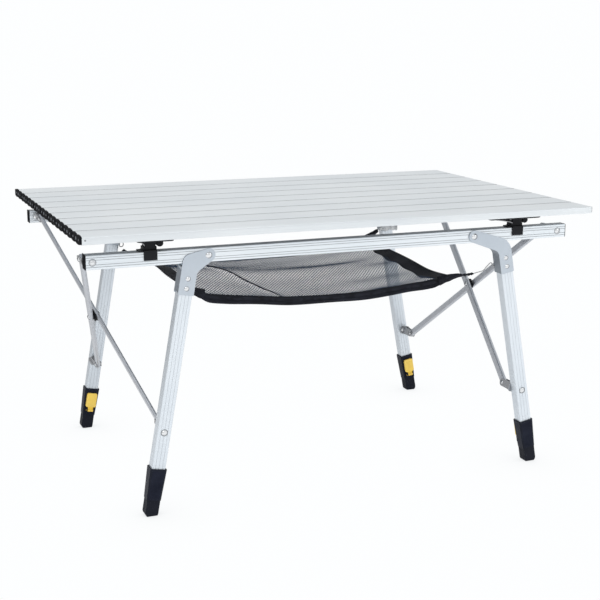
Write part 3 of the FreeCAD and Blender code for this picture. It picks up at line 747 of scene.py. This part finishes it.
def bar_rivets(line, corner):
    normal, out = line.normal, line.out
    middle = line.start + line.along * (line.length / 2)
    heads = [revolve(BAR_DOME, middle + normal * out * BAR_T / 2, normal * out),
             revolve(BAR_DOME, line.stop - normal * BAR_T / 2, -normal),
             revolve(BAR_DOME, line.start - normal * BAR_T / 2, -normal)]
    made = mesh_object("bar_rivets_" + corner, join(heads), M_RIVET, 50)
    attach(made, "bar_" + corner, "rivets")


def bar_spacer(line, corner):
    """Black waisted block between the two bars at their crossing."""
    outline = rounded_rect(0.026, 0.018, 0.006, 5)
    gap = 2 * (BAR_LAYER - BAR_T / 2)
    middle = line.start + line.along * (line.length / 2)
    # distance along the normal, scale
    rows = ((-BAR_T / 2 + 0.0006, 1.0), (-BAR_T / 2 - gap * 0.15, 1.0),
            (-BAR_T / 2 - gap * 0.5, 0.90), (-BAR_T / 2 - gap * 0.85, 1.0),
            (-BAR_T / 2 - gap + 0.0003, 1.0))
    rings = [[middle + line.along * dx * scale + line.across * dy * scale
              + line.normal * height for dx, dy in outline] for height, scale in rows]
    made = mesh_object("bar_spacer_" + corner, loft(rings, flip=True), M_BLACK)
    attach(made, "bar_" + corner, "collars")


def clevis_plates(line, base, out, joint, corner):
    """Two leaves on either side of the bar and the foot that joins them."""
    outline = [(LEAF_HALF * math.cos(math.pi * k / 12),
                PIN_Y - LEAF_HALF * math.sin(math.pi * k / 12)) for k in range(13)]
    outline += [(-LEAF_HALF, 0.262), (-0.0105, LEAF_ROOT_Y), (0.0105, LEAF_ROOT_Y),
                (LEAF_HALF, 0.262)]
    near = BAR_T / 2 + LEAF_GAP
    far = near + LEAF_T
    shapes = []
    for bounds in ((line.layer + near, line.layer + far),
                   (line.layer - far, line.layer - near)):
        shapes.append(loft([[base + line.slope * dx + Vector((0, out * y, 0))
                             + line.normal * height for dx, y in outline]
                            for height in bounds], flip=out < 0))
    centre = base + line.normal * line.layer
    # y, scale
    rows = ((0.2798, 1.0), (0.2780, 1.0), (0.2772, 0.95))
    shapes.append(loft([[Vector((centre.x, out * y, centre.z))
                         + line.normal * (dx * scale) * 0.80 + line.slope * (dy * scale)
                         for dx, dy in rounded_rect(*CLEVIS_FOOT[joint], 0.006)]
                        for y, scale in rows], flip=out > 0))
    made = mesh_object("clevis_%s_%s" % (joint, corner), join(shapes), M_SWIVEL, 30)
    bevel(made, 0.0003)
    attach(made, "%s_swivel_body_%s" % (joint, corner), "swivels")


def clevis_rivets(line, base, out, joint, corner):
    """Both ends of the bar's pin, the foot's head and the head on the outer face."""
    pin = Vector((base.x, out * PIN_Y, base.z))
    outer = Vector((base.x, out * RAIL_FACE, base.z))
    reach = BAR_T / 2 + LEAF_GAP + LEAF_T
    heads = [revolve(PIN_DOME, pin + line.normal * (line.layer + reach), line.normal),
             revolve(PIN_DOME, pin + line.normal * (line.layer - reach), -line.normal),
             revolve(PIN_DOME, Vector((base.x, out * 0.2770, base.z)), (0, -out, 0)),
             revolve(OUTER_HEADS[joint], outer, (0, out, 0), 32)]
    washer = revolve(HEAD_WASHER, outer, (0, out, 0), 32)
    made = mesh_object("clevis_rivet_%s_%s" % (joint, corner), join(heads + [washer]),
                       M_RIVET, 50)
    first_washer = face_count(heads)
    # the washers take the darker alu that also serves as painted groove shade
    paint(made, M_SHADE_AND_WASHER_ALU, lambda face: face.index >= first_washer)
    attach(made, "%s_swivel_body_%s" % (joint, corner), "rivets",
           "%s_swivel_%s" % (joint, corner))


for side in "lr":
    for front in (True, False):
        near_end, far_end = "fb" if front else "bf"
        line = brace(side, front)
        bar_tube(line, near_end + side)
        bar_rivets(line, near_end + side)
        if not front:
            bar_spacer(line, near_end + side)
        for pin, out, joint, end in ((line.start, line.out, "rail", near_end),
                                     (line.stop, -line.out, "leg", far_end)):
            base = Vector((pin.x, 0, pin.z)) - line.normal * line.layer
            clevis_plates(line, base, out, joint, end + side)
            clevis_rivets(line, base, out, joint, end + side)


# ------------------------------------------------------- rails and outer legs
def grooved(width, height, marks_w, marks_h, groove_w, groove_d):
    """Rounded tube outline with fine lengthwise grooves.  marks_w lie on the two faces
    that run along the width, marks_h on the other two.
    Returns the outline and, for each of its edges, whether it lies in a groove."""
    radius, half = 0.0020, (width / 2, height / 2)
    # along the face, depth, whether the edge that follows is in the groove
    groove = ((-groove_w / 2, 0, True), (-groove_w / 4, groove_d, True),
              (groove_w / 4, groove_d, True), (groove_w / 2, 0, False))
    outline, dark = [], []
    for quarter, signs in enumerate(((1, 1), (-1, 1), (-1, -1), (1, -1))):
        corner = arc(signs[0] * (half[0] - radius), signs[1] * (half[1] - radius), radius,
                     90 * quarter, 4)
        outline += corner
        dark += [False] * len(corner)
        axis = quarter % 2
        travel = -1 if quarter < 2 else 1
        for mark in sorted((marks_w, marks_h)[axis], reverse=travel < 0):
            for along, depth, is_dark in groove:
                point = [0, 0]
                point[axis] = mark + travel * along
                point[1 - axis] = signs[1 - axis] * (half[1 - axis] - depth)
                outline.append(tuple(point))
                dark.append(is_dark)
    return outline, dark


def grooved_tube(name, rings, dark, material, shade_material, painted_shadow_top=False):
    """Tube whose groove faces, and if asked its upward faces, take the darker material: painted
    shade in the grooves, painted shadow on the upward faces.
    """
    tube = mesh_object(name, loft(rings), material, 30)
    side_faces = (len(rings) - 1) * len(dark)
    paint(tube, shade_material, lambda face: face.index < side_faces and (
        dark[face.index % len(dark)] or (painted_shadow_top and face.normal.z > 0.6)))
    return tube


RAIL_MARKS = (-0.0090, -0.0045, 0.0045, 0.0090)
LEG_MARKS = (-0.0070, 0.0, 0.0070)
# end plug with a shallow recess: distance beyond its start, scale
PLUG_ROWS = ((0.0, 1.0), (0.0011, 1.0), (0.0016, 0.95), (0.0016, 0.62), (0.0009, 0.58))
PLUG_INSET, PLUG_OVERSIZE = 0.0006, 0.0003


def rail_tube(end):
    section, dark = grooved(RAIL_W, RAIL_H, (), RAIL_MARKS, groove_w=0.0009,
                            groove_d=0.0006)
    rings = [[(x, OUT[end] * RAIL_Y + dy, RAIL_Z + dz) for dy, dz in section]
             for x in np.linspace(RAIL_LEFT, RAIL_RIGHT, 7)]
    # painted shade in the grooves and painted shadow of the top on the rail's upward faces
    tube = grooved_tube("rail_tube_" + end, rings, dark, M_RAIL, M_SHADE_AND_WASHER_ALU, painted_shadow_top=True)
    attach(tube, WORD[end] + "_frame", "rails", WORD[end] + "_rail")


def rail_plugs(end):
    outline = rounded_rect(RAIL_W + PLUG_OVERSIZE, RAIL_H + PLUG_OVERSIZE, 0.0022)
    plugs = []
    for x, out in ((RAIL_LEFT + PLUG_INSET, -1), (RAIL_RIGHT - PLUG_INSET, 1)):
        plugs.append(loft([[(x + out * beyond, OUT[end] * RAIL_Y + dy * scale,
                             RAIL_Z + dz * scale) for dy, dz in outline]
                           for beyond, scale in PLUG_ROWS], flip=out < 0))
    made = mesh_object("rail_plugs_" + end, join(plugs), M_CAP)
    attach(made, WORD[end] + "_frame", "rail_caps", WORD[end] + "_rail_caps")


def leg_outer(corner):
    end, side = OUT[corner[0]], SIDES[corner[1]]
    place = leg_frame(side, end)
    section, dark = grooved(LEG_W, LEG_D, LEG_MARKS, (), groove_w=0.0007, groove_d=0.0004)
    bottom = ground_distance(side) - LEG_TUBE_LIFT
    rings = [[place @ Vector((dx, dy, z)) for dx, dy in section]
             for z in np.linspace(-bottom, -side.tube_top, 5)]
    if end * side.out < 0:
        # the frame is mirrored here, so the outline and its edge marks run backwards
        rings = [ring[::-1] for ring in rings]
        dark = [dark[(len(dark) - 2 - i) % len(dark)] for i in range(len(dark))]
    # painted shade in the grooves
    tube = grooved_tube("leg_outer_" + corner, rings, dark, M_LEG, M_LEG_GROOVE_SHADE)
    attach(tube, "leg_" + corner, "legs", "leg_tube_" + corner)


for end in "fb":
    rail_tube(end)
    rail_plugs(end)
for corner in CORNERS:
    leg_outer(corner)

# --------------------------------------------------------------- storage net
NET_W, NET_D = 0.600, 0.514
NET_FRONT_Y, NET_BACK_Y = -0.260, 0.252
# hanging edges of the sheet; front and back: x, z
NET_FRONT = (
    (-0.316, 0.446), (-0.287, 0.4275), (-0.245, 0.4200), (-0.193, 0.4140), (-0.128, 0.4070),
    (-0.085, 0.4045), (-0.018, 0.4025), (0.050, 0.4030), (0.119, 0.4070), (0.165, 0.4115),
    (0.201, 0.4140), (0.237, 0.4190), (0.262, 0.4265),
)
NET_BACK = (
    (-0.320, 0.4215), (-0.26, 0.4115), (-0.18, 0.406), (-0.09, 0.400), (0.0, 0.398),
    (0.09, 0.399), (0.18, 0.404), (0.26, 0.414), (0.322, 0.428),
)
# left and right, from the front to the back: x, y, z
NET_LEFT = (
    (-0.316, -0.260, 0.446), (-0.312, -0.205, 0.4375), (-0.309, -0.151, 0.433),
    (-0.311, -0.068, 0.434), (-0.312, 0.019, 0.4385), (-0.315, 0.130, 0.4300),
    (-0.320, 0.252, 0.4215),
)
NET_RIGHT = (
    (0.262, -0.260, 0.4265), (0.279, -0.173, 0.415), (0.287, -0.106, 0.411),
    (0.296, -0.023, 0.412), (0.305, 0.059, 0.412), (0.314, 0.144, 0.411),
    (0.319, 0.205, 0.417), (0.322, 0.252, 0.428),
)
# seam line: share of the way back, share of the way right
SEAM_BACK = (0.0, 0.18, 0.23, 0.32, 0.46, 0.61, 0.74, 1.0)
SEAM_RIGHT = (0.37, 0.345, 0.325, 0.308, 0.283, 0.243, 0.207, 0.150)


def edge_curve(points):
    """Smooth curve through points, with each point's share of the length."""
    curve = np.array([tuple(point) for point in smooth_path(points, 12)])
    run = np.concatenate([[0], np.cumsum(np.linalg.norm(np.diff(curve, axis=0), axis=1))])
    return run / run[-1], curve


CURVE_FRONT = edge_curve([(x, NET_FRONT_Y, z) for x, z in NET_FRONT])
CURVE_BACK = edge_curve([(x, NET_BACK_Y, z) for x, z in NET_BACK])
CURVE_LEFT = edge_curve(NET_LEFT)
CURVE_RIGHT = edge_curve(NET_RIGHT)


def curve_at(curve, share):
    return np.stack([np.interp(share, curve[0], curve[1][:, k]) for k in range(3)], -1)


def seam_right(back):
    return np.interp(back, SEAM_BACK, SEAM_RIGHT)


def net_xyz(right, back):
    """Point of the sheet at shares of the way right and back (0 to 1): a patch through
    the four edge curves, with slack, creases and a ridge along the seam."""
    right = np.clip(np.asarray(right, float), 0, 1)
    back = np.clip(np.asarray(back, float), 0, 1)
    wr, wb = right[..., None], back[..., None]
    corners = ((1 - wr) * (1 - wb) * curve_at(CURVE_FRONT, 0.0)
               + wr * (1 - wb) * curve_at(CURVE_FRONT, 1.0)
               + (1 - wr) * wb * curve_at(CURVE_BACK, 0.0)
               + wr * wb * curve_at(CURVE_BACK, 1.0))
    sheet = ((1 - wb) * curve_at(CURVE_FRONT, right) + wb * curve_at(CURVE_BACK, right)
             + (1 - wr) * curve_at(CURVE_LEFT, back) + wr * curve_at(CURVE_RIGHT, back)
             - corners)
    inside = np.clip(np.minimum(np.minimum(right, 1 - right),
                                np.minimum(back, 1 - back)) / 0.08, 0, 1)
    z = sheet[..., 2] + 0.008 * 16 * right * (1 - right) * back * (1 - back)
    # creases: two sets that grow towards the right, a finer one that fades to the back
    z = z + inside * (
        0.0014 * np.sin(21 * back + 5.0 * right + 1.3 * np.sin(6 * right))
        * (0.25 + 0.75 * right)
        + 0.0013 * np.sin(33 * (back - 0.35 * right) + 2.0) * np.clip(1.4 * right - 0.3, 0, 1)
        + 0.0010 * np.sin(27 * right + 9 * back) * np.exp(-3.5 * back))
    ridge = np.exp(-((right - seam_right(back)) / 0.016) ** 2)
    z = z + inside * 0.0035 * ridge * np.clip(back * 3.0, 0, 1)
    sheet[..., 2] = z
    return sheet


def net_normal(right, back):
    step = 0.004
    rightward = (net_xyz(np.clip(right + step, 0, 1), back)
                 - net_xyz(np.clip(right - step, 0, 1), back))
    backward = (net_xyz(right, np.clip(back + step, 0, 1))
                - net_xyz(right, np.clip(back - step, 0, 1)))
    normal = np.cross(rightward, backward)
    return normal / np.linalg.norm(normal, axis=-1, keepdims=True)


def net_threads():
    """Two families of flat threads crossing at a steep diamond."""
    half_w, half_t, pitch = 0.00092, 0.00022, 0.0060
    threads = []
    for degrees, lift in ((57.0, -0.00018), (123.0, 0.00018)):
        angle = math.radians(degrees)
        run = np.array([math.cos(angle), math.sin(angle)])
        side = np.array([-run[1], run[0]])
        reach = [np.dot(side, corner)
                 for corner in ((0, 0), (NET_W, 0), (0, NET_D), (NET_W, NET_D))]
        for k in range(math.ceil(min(reach) / pitch), math.floor(max(reach) / pitch) + 1):
            offset = side * (k + 0.37) * pitch
            # where the thread enters and leaves the sheet in each direction
            spans = [sorted(((0 - offset[axis]) / run[axis],
                             (limit - offset[axis]) / run[axis]))
                     for axis, limit in enumerate((NET_W, NET_D))]
            start = max(span[0] for span in spans)
            stop = min(span[1] for span in spans)
            if stop - start < 0.004:
                continue
            count = int((stop - start) / 0.0125) + 2
            flat = offset[None, :] + np.linspace(start, stop, count)[:, None] * run[None, :]
            right, back = flat[:, 0] / NET_W, flat[:, 1] / NET_D
            points = net_xyz(right, back)
            normal = net_normal(right, back)
            ahead = np.gradient(points, axis=0)
            ahead /= np.linalg.norm(ahead, axis=1, keepdims=True)
            across = np.cross(normal, ahead)
            across /= np.linalg.norm(across, axis=1, keepdims=True)
            points = points + normal * lift
            wide, thick = across * half_w, normal * half_t
            threads.append(loft(np.stack([points + wide + thick, points - wide + thick,
                                          points - wide - thick, points + wide - thick], 1)))
    return join(threads)


SOFT = []


def soft(name, shape, material=M_WEB, slot="net", angle=40):
    SOFT.append((mesh_object(name, shape, material, angle), slot))


def edge_binding(name, curve, out, hang):
    """Folded tape along the front or back edge: two overlapping turns."""
    full_hang, count = 0.0165, 120
    rings = []
    for i in range(count + 1):
        u = i / count
        centre = curve_at(curve, u)
        taper = min(1.0, min(u, 1 - u) / 0.07)
        scale = hang * (0.30 + 0.70 * taper ** 0.8) / full_hang
        wobble = 0.0009 * math.sin(37 * u + 1.0) + 0.0006 * math.sin(83 * u)
        ripple = 0.0007 * math.sin(23 * u + 2.0)
        lean = 0.0015 * math.sin(9 * u + 0.6)
        # distance out of the table, height
        section = (
            (-0.0055, 0.0046), (-0.0015, 0.0052), (0.0012, 0.0040),
            (0.0022 + wobble, 0.0005), (0.0023 + wobble, -0.0030),
            (0.0017 + wobble, -0.0050), (0.0016, -0.0056 + ripple),
            (0.0034 + ripple, -0.0063 + ripple), (0.0038 + lean, -0.0095),
            (0.0033 + lean, -0.0118 + ripple), (0.0014 + lean, -0.0124 + ripple),
            (-0.0004 + lean, -0.0112), (-0.0008, -0.0050), (-0.0016, 0.0010),
            (-0.0052, 0.0030),
        )
        rings.append([(centre[0], centre[1] + out * dy * scale - out * 0.0005,
                       centre[2] + dz * scale + 0.0012) for dy, dz in section])
    soft(name, loft(rings, flip=out > 0), angle=50)


def side_binding(name, outer, inner):
    """Wide flat tape at one end of the net, between two shares of the way right and
    narrower towards the corners."""
    thick, count = 0.0026, 96
    rings = []
    for i in range(count + 1):
        back = i / count
        taper = min(1.0, min(back, 1 - back) / 0.20)
        width = 0.32 + 0.68 * taper ** 0.7
        width += 0.06 * math.sin(31 * back + 0.5) * taper
        top, bottom = [], []
        for k in range(7):
            share = k / 6
            right = outer + (inner - outer) * width * share
            point = net_xyz(right, back)
            normal = net_normal(right, back)
            lift = (0.0012 + 0.0010 * math.sin(14 * back + 2.2 * share) * share
                    + (0.0018 if k == 0 else 0.0))
            top.append(point + normal * lift)
            bottom.append(point + normal * (lift - thick))
        rings.append(top + bottom[::-1])
    soft(name, loft(rings, flip=outer > 0.5), angle=50)


def net_seam():
    """Cord stitched along the seam ridge, tapered at its front end."""
    backs = np.linspace(0.06, 0.97, 60)
    path = [tuple(net_xyz(seam_right(back), back) + np.array([0, 0, 0.0010]))
            for back in backs]
    radii = [0.0013 * min(1.0, 0.25 + 6 * (back - 0.06)) for back in backs]
    soft("net_seam", tube_along(path, radii))


def twist_cord(name, path, turns, radius=0.0017):
    """Doubled cord: two strands twisted round each other."""
    points = smooth_path(path)
    strands = []
    for phase in (0.0, math.pi):
        strand = []
        for i, point in enumerate(points):
            ahead = tangent(points, i)
            side = ahead.orthogonal().normalized()
            angle = phase + 2 * math.pi * turns * i / (len(points) - 1)
            strand.append(point + (side * math.cos(angle)
                                   + ahead.cross(side) * math.sin(angle)) * (radius * 0.85))
        strands.append(tube_along(strand, radius))
    soft(name, join(strands))


def hook(name, path):
    soft(name, tube_along(smooth_path(path), 0.0011), M_WIRE, "hooks")


def gather(name, path, heights, widths):
    """Gathered tape, ribbed round its oval section; sizes are spread evenly on the path."""
    points = smooth_path(path)
    rings = []
    for i, point in enumerate(points):
        share = i / (len(points) - 1)
        height = np.interp(share, np.linspace(0, 1, len(heights)), heights)
        width = np.interp(share, np.linspace(0, 1, len(widths)), widths)
        ahead = tangent(points, i)
        side = ahead.cross(Vector((0, 0, 1))).normalized()
        upward = side.cross(ahead)
        ring = []
        for k in range(20):
            angle = 2 * math.pi * k / 20
            rib = 1.0 + 0.16 * math.cos(5 * angle + 7 * share)
            ring.append(point + upward * (height * 0.5 * math.cos(angle) * rib)
                        + side * (width * 0.5 * math.sin(angle) * rib))
        rings.append(ring)
    soft(name, loft(rings), angle=60)


def wire_ring(name, centre_x, centre_y, centre_z):
    """Small, slightly leaning ring."""
    angles = [2 * math.pi * k / 20 for k in range(21)]
    soft(name, tube_along([(centre_x + 0.0052 * math.cos(angle),
                            centre_y - 0.001 * math.sin(angle),
                            centre_z + 0.0058 * math.sin(angle)) for angle in angles],
                          0.0011), M_WIRE, "hooks")


def pale_strap():
    """Rumpled light grey tape at the back right elbow."""
    rings = []
    for i in range(41):
        share = i / 40
        x = 0.352 + 0.046 * share
        y = 0.2735 + 0.0022 * math.sin(17 * share)
        z = 0.4425 + 0.0016 * math.sin(11 * share + 1.0)
        half = 0.0075 + 0.0013 * math.sin(19 * share) + 0.0008 * math.sin(41 * share)
        ring = []
        for k in range(16):
            angle = 2 * math.pi * k / 16
            rib = 1 + 0.13 * math.cos(4 * angle + 21 * share)
            ring.append((x, y + 0.0032 * math.sin(angle) * rib,
                         z + half * math.cos(angle) * rib))
        rings.append(ring)
    soft("net_strap_br", loft(rings), M_PALE, angle=60)


soft("net_mesh", net_threads(), M_CORD, angle=None)
edge_binding("net_binding_front", CURVE_FRONT, out=-1.0, hang=0.0165)
edge_binding("net_binding_back", CURVE_BACK, out=1.0, hang=0.015)
side_binding("net_binding_left", outer=0.0, inner=0.078)
side_binding("net_binding_right", outer=1.0, inner=0.944)
net_seam()

# front right corner: gathered tape, doubled cord, open wire hook
gather("net_corner_fr",
       [(0.235, -0.256, 0.4165), (0.255, -0.261, 0.4235), (0.272, -0.263, 0.4275),
        (0.287, -0.264, 0.4278)],
       heights=(0.018, 0.015, 0.010, 0.006), widths=(0.016, 0.012, 0.008, 0.005))
twist_cord("net_cord_fr",
           [(0.283, -0.264, 0.4278), (0.296, -0.264, 0.4280), (0.308, -0.264, 0.4285),
            (0.314, -0.264, 0.4300)], turns=2.0)
hook("net_hook_fr",
     [(0.309, -0.2645, 0.4285), (0.322, -0.266, 0.4315), (0.335, -0.270, 0.4355),
      (0.341, -0.274, 0.4440), (0.347, -0.2765, 0.4515), (0.350, -0.278, 0.4530),
      (0.353, -0.2785, 0.4490), (0.358, -0.2788, 0.4440)])
# front left corner: the same three pieces
gather("net_corner_fl",
       [(-0.290, -0.256, 0.4300), (-0.303, -0.259, 0.4370), (-0.314, -0.262, 0.4440),
        (-0.322, -0.264, 0.4490)],
       heights=(0.019, 0.016, 0.011, 0.006), widths=(0.016, 0.012, 0.008, 0.005))
twist_cord("net_cord_fl",
           [(-0.318, -0.2635, 0.4465), (-0.325, -0.266, 0.4510), (-0.330, -0.268, 0.4560)],
           turns=1.5)
hook("net_hook_fl",
     [(-0.327, -0.267, 0.4525), (-0.331, -0.271, 0.4580), (-0.334, -0.275, 0.4640),
      (-0.336, -0.2775, 0.4680), (-0.3375, -0.2785, 0.4640), (-0.3385, -0.2785, 0.4590)])
# back right corner: gathered tape and hook; the pale strap comes last
gather("net_corner_br",
       [(0.296, 0.250, 0.4190), (0.312, 0.254, 0.4260), (0.326, 0.258, 0.4330),
        (0.339, 0.262, 0.4385)],
       heights=(0.018, 0.015, 0.012, 0.008), widths=(0.014, 0.010, 0.007, 0.005))
hook("net_hook_br",
     [(0.336, 0.2615, 0.4375), (0.344, 0.264, 0.4420), (0.352, 0.268, 0.4460),
      (0.357, 0.272, 0.4500), (0.362, 0.2765, 0.4500), (0.366, 0.2785, 0.4450),
      (0.368, 0.2788, 0.4390)])
# back left corner: gathered tape, small ring and hook
gather("net_corner_bl",
       [(-0.296, 0.250, 0.4130), (-0.306, 0.254, 0.4190), (-0.315, 0.258, 0.4250),
        (-0.3215, 0.261, 0.4320)],
       heights=(0.018, 0.014, 0.010, 0.006), widths=(0.014, 0.010, 0.007, 0.005))
wire_ring("net_ring_bl", -0.3235, 0.2665, 0.4440)
hook("net_hook_bl",
     [(-0.3245, 0.2665, 0.4500), (-0.3300, 0.2720, 0.4560), (-0.3350, 0.2765, 0.4610),
      (-0.3380, 0.2786, 0.4580), (-0.3390, 0.2788, 0.4520)])
pale_strap()
for part, slot in SOFT:
    attach(part, "front_frame", slot, "net_hooks" if slot == "hooks" else "storage_net")
    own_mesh(part)

# -------------------------------------------------------------- set and light
FLOOR_HALF, FLOOR_CELLS, FLOOR_Z = 14.0, 40, -0.0005
FLOOR_GLOW = 0.42


def floor_material():
    """Lights the table but is clear to the camera apart from a soft contact shade, so
    feet drawn out below the floor stay in view."""
    material, tree, shader = new_material("floor")
    light_path = add(tree, "ShaderNodeLightPath")
    geometry = add(tree, "ShaderNodeNewGeometry")
    split = add(tree, "ShaderNodeSeparateXYZ", {"Vector": geometry.outputs["Position"]})
    # glow and colour fall off towards the back
    fall = add(tree, "ShaderNodeMapRange", {"From Min": -0.3, "From Max": 1.6, "To Min": 1.0,
                                            "To Max": 0.42, "Value": split.outputs["Y"]})
    glow = add(tree, "ShaderNodeMath", {0: fall.outputs["Result"], 1: FLOOR_GLOW},
               operation="MULTIPLY")
    fill(tree, shader, {"Roughness": 0.9, "Specular IOR Level": 0.0,
                        "Emission Color": (1, 1, 1, 1), "Emission Strength": FLOOR_GLOW})
    fill(tree, shader, {
        "Emission Strength": glow.outputs[0],
        "Base Color": ramp(tree, fall.outputs["Result"],
                           [(0.0, (0.0, 0.0, 0.0)), (1.0, (0.80, 0.80, 0.80))])})
    contact = add(tree, "ShaderNodeAmbientOcclusion", {"Distance": 0.16}, samples=12)
    clear = add(tree, "ShaderNodeBsdfTransparent")
    fill(tree, clear, {"Color": ramp(tree, contact.outputs["AO"], [
        (0.0, (0.70, 0.71, 0.72)), (0.80, (0.965, 0.967, 0.97)), (0.97, (1, 1, 1))])})
    mix = add(tree, "ShaderNodeMixShader", {0: light_path.outputs["Is Camera Ray"],
                                            1: shader.outputs[0], 2: clear.outputs[0]})
    fill(tree, tree.nodes["Material Output"], {"Surface": mix.outputs[0]})
    return material


def floor():
    row = FLOOR_CELLS + 1
    ticks = [-FLOOR_HALF + 2 * FLOOR_HALF * i / FLOOR_CELLS for i in range(row)]
    verts = [(x, y, FLOOR_Z) for x in ticks for y in ticks]
    faces = []
    for i in range(FLOOR_CELLS):
        for j in range(FLOOR_CELLS):
            first = i * row + j
            faces.append((first, first + row, first + row + 1, first + 1))
    mesh_object("floor", (verts, faces), floor_material(), None)


def studio_world():
    """Soft surround that varies with direction, at least full white to the camera."""
    world = bpy.data.worlds.new("studio")
    scene.world = world
    world.use_nodes = True
    tree = world.node_tree
    source = add(tree, "ShaderNodeTexCoord")
    split = add(tree, "ShaderNodeSeparateXYZ", {"Vector": source.outputs["Generated"]})
    x, y, z = (split.outputs[axis] for axis in "XYZ")

    def combine(operation, first, second):
        return add(tree, "ShaderNodeMath", {0: first, 1: second},
                   operation=operation).outputs[0]

    front = combine("MAXIMUM", combine("MULTIPLY", y, -1.0), 0.0)
    behind = combine("MAXIMUM", y, 0.0)
    above = combine("MAXIMUM", z, 0.0)
    left = combine("MAXIMUM", combine("MULTIPLY", x, -1.0), 0.0)
    # base level, then how much each direction adds or takes away
    level = combine("ADD", 0.42, combine("MULTIPLY", front, 0.54))
    level = combine("ADD", level, combine("MULTIPLY", behind, 0.40))
    level = combine("ADD", level, combine("MULTIPLY", above, 0.34))
    level = combine("SUBTRACT", level, combine("MULTIPLY", left, 0.16))
    light_path = add(tree, "ShaderNodeLightPath")
    seen = combine("MULTIPLY", light_path.outputs["Is Camera Ray"], 1.0)
    fill(tree, tree.nodes["Background"], {"Strength": combine("MAXIMUM", level, seen),
                                          "Color": (0.985, 0.995, 1.0, 1)})


def area(name, location, target, size, power):
    light = bpy.data.lights.new(name, "AREA")
    light.shape = "RECTANGLE"
    light.size, light.size_y = size
    light.energy = power
    light.color = (0.97, 0.99, 1.0)
    lamp = bpy.data.objects.new(name, light)
    scene.collection.objects.link(lamp)
    lamp.location = location
    lamp.rotation_mode = "QUATERNION"
    aim = Vector(target) - Vector(location)
    lamp.rotation_quaternion = aim.to_track_quat("-Z", "Y")


def camera(location, azimuth, elevation, roll, lens):
    """Looks along the direction given by two angles; angles in degrees, lens in mm."""
    data = bpy.data.cameras.new("cam")
    data.sensor_width = 36.0
    data.lens = lens
    made = bpy.data.objects.new("cam", data)
    scene.collection.objects.link(made)
    azimuth, elevation = math.radians(azimuth), math.radians(elevation)
    backward = Vector((math.sin(azimuth) * math.cos(elevation),
                       -math.cos(azimuth) * math.cos(elevation), math.sin(elevation)))
    made.location = location
    made.rotation_mode = "QUATERNION"
    aim = (-backward).to_track_quat("-Z", "Y")
    made.rotation_quaternion = aim @ Quaternion((0, 0, 1), math.radians(roll))
    scene.camera = made


floor()
studio_world()
area("key", (-2.2, -2.6, 3.0), target=(0, 0, 0.4), size=(2.2, 2.2), power=26)
area("fill", (2.8, -2.2, 1.6), target=(0, 0, 0.4), size=(2.0, 2.0), power=14)
area("top", (0.3, 0.8, 3.4), target=(0, 0, 0.5), size=(3.0, 2.0), power=20)
camera((-1.00748, -2.53453, 0.96092), azimuth=-22.09, elevation=12.81, roll=0.264,
       lens=74.184)
scene.view_settings.view_transform = "Standard"
scene.view_settings.look = "None"
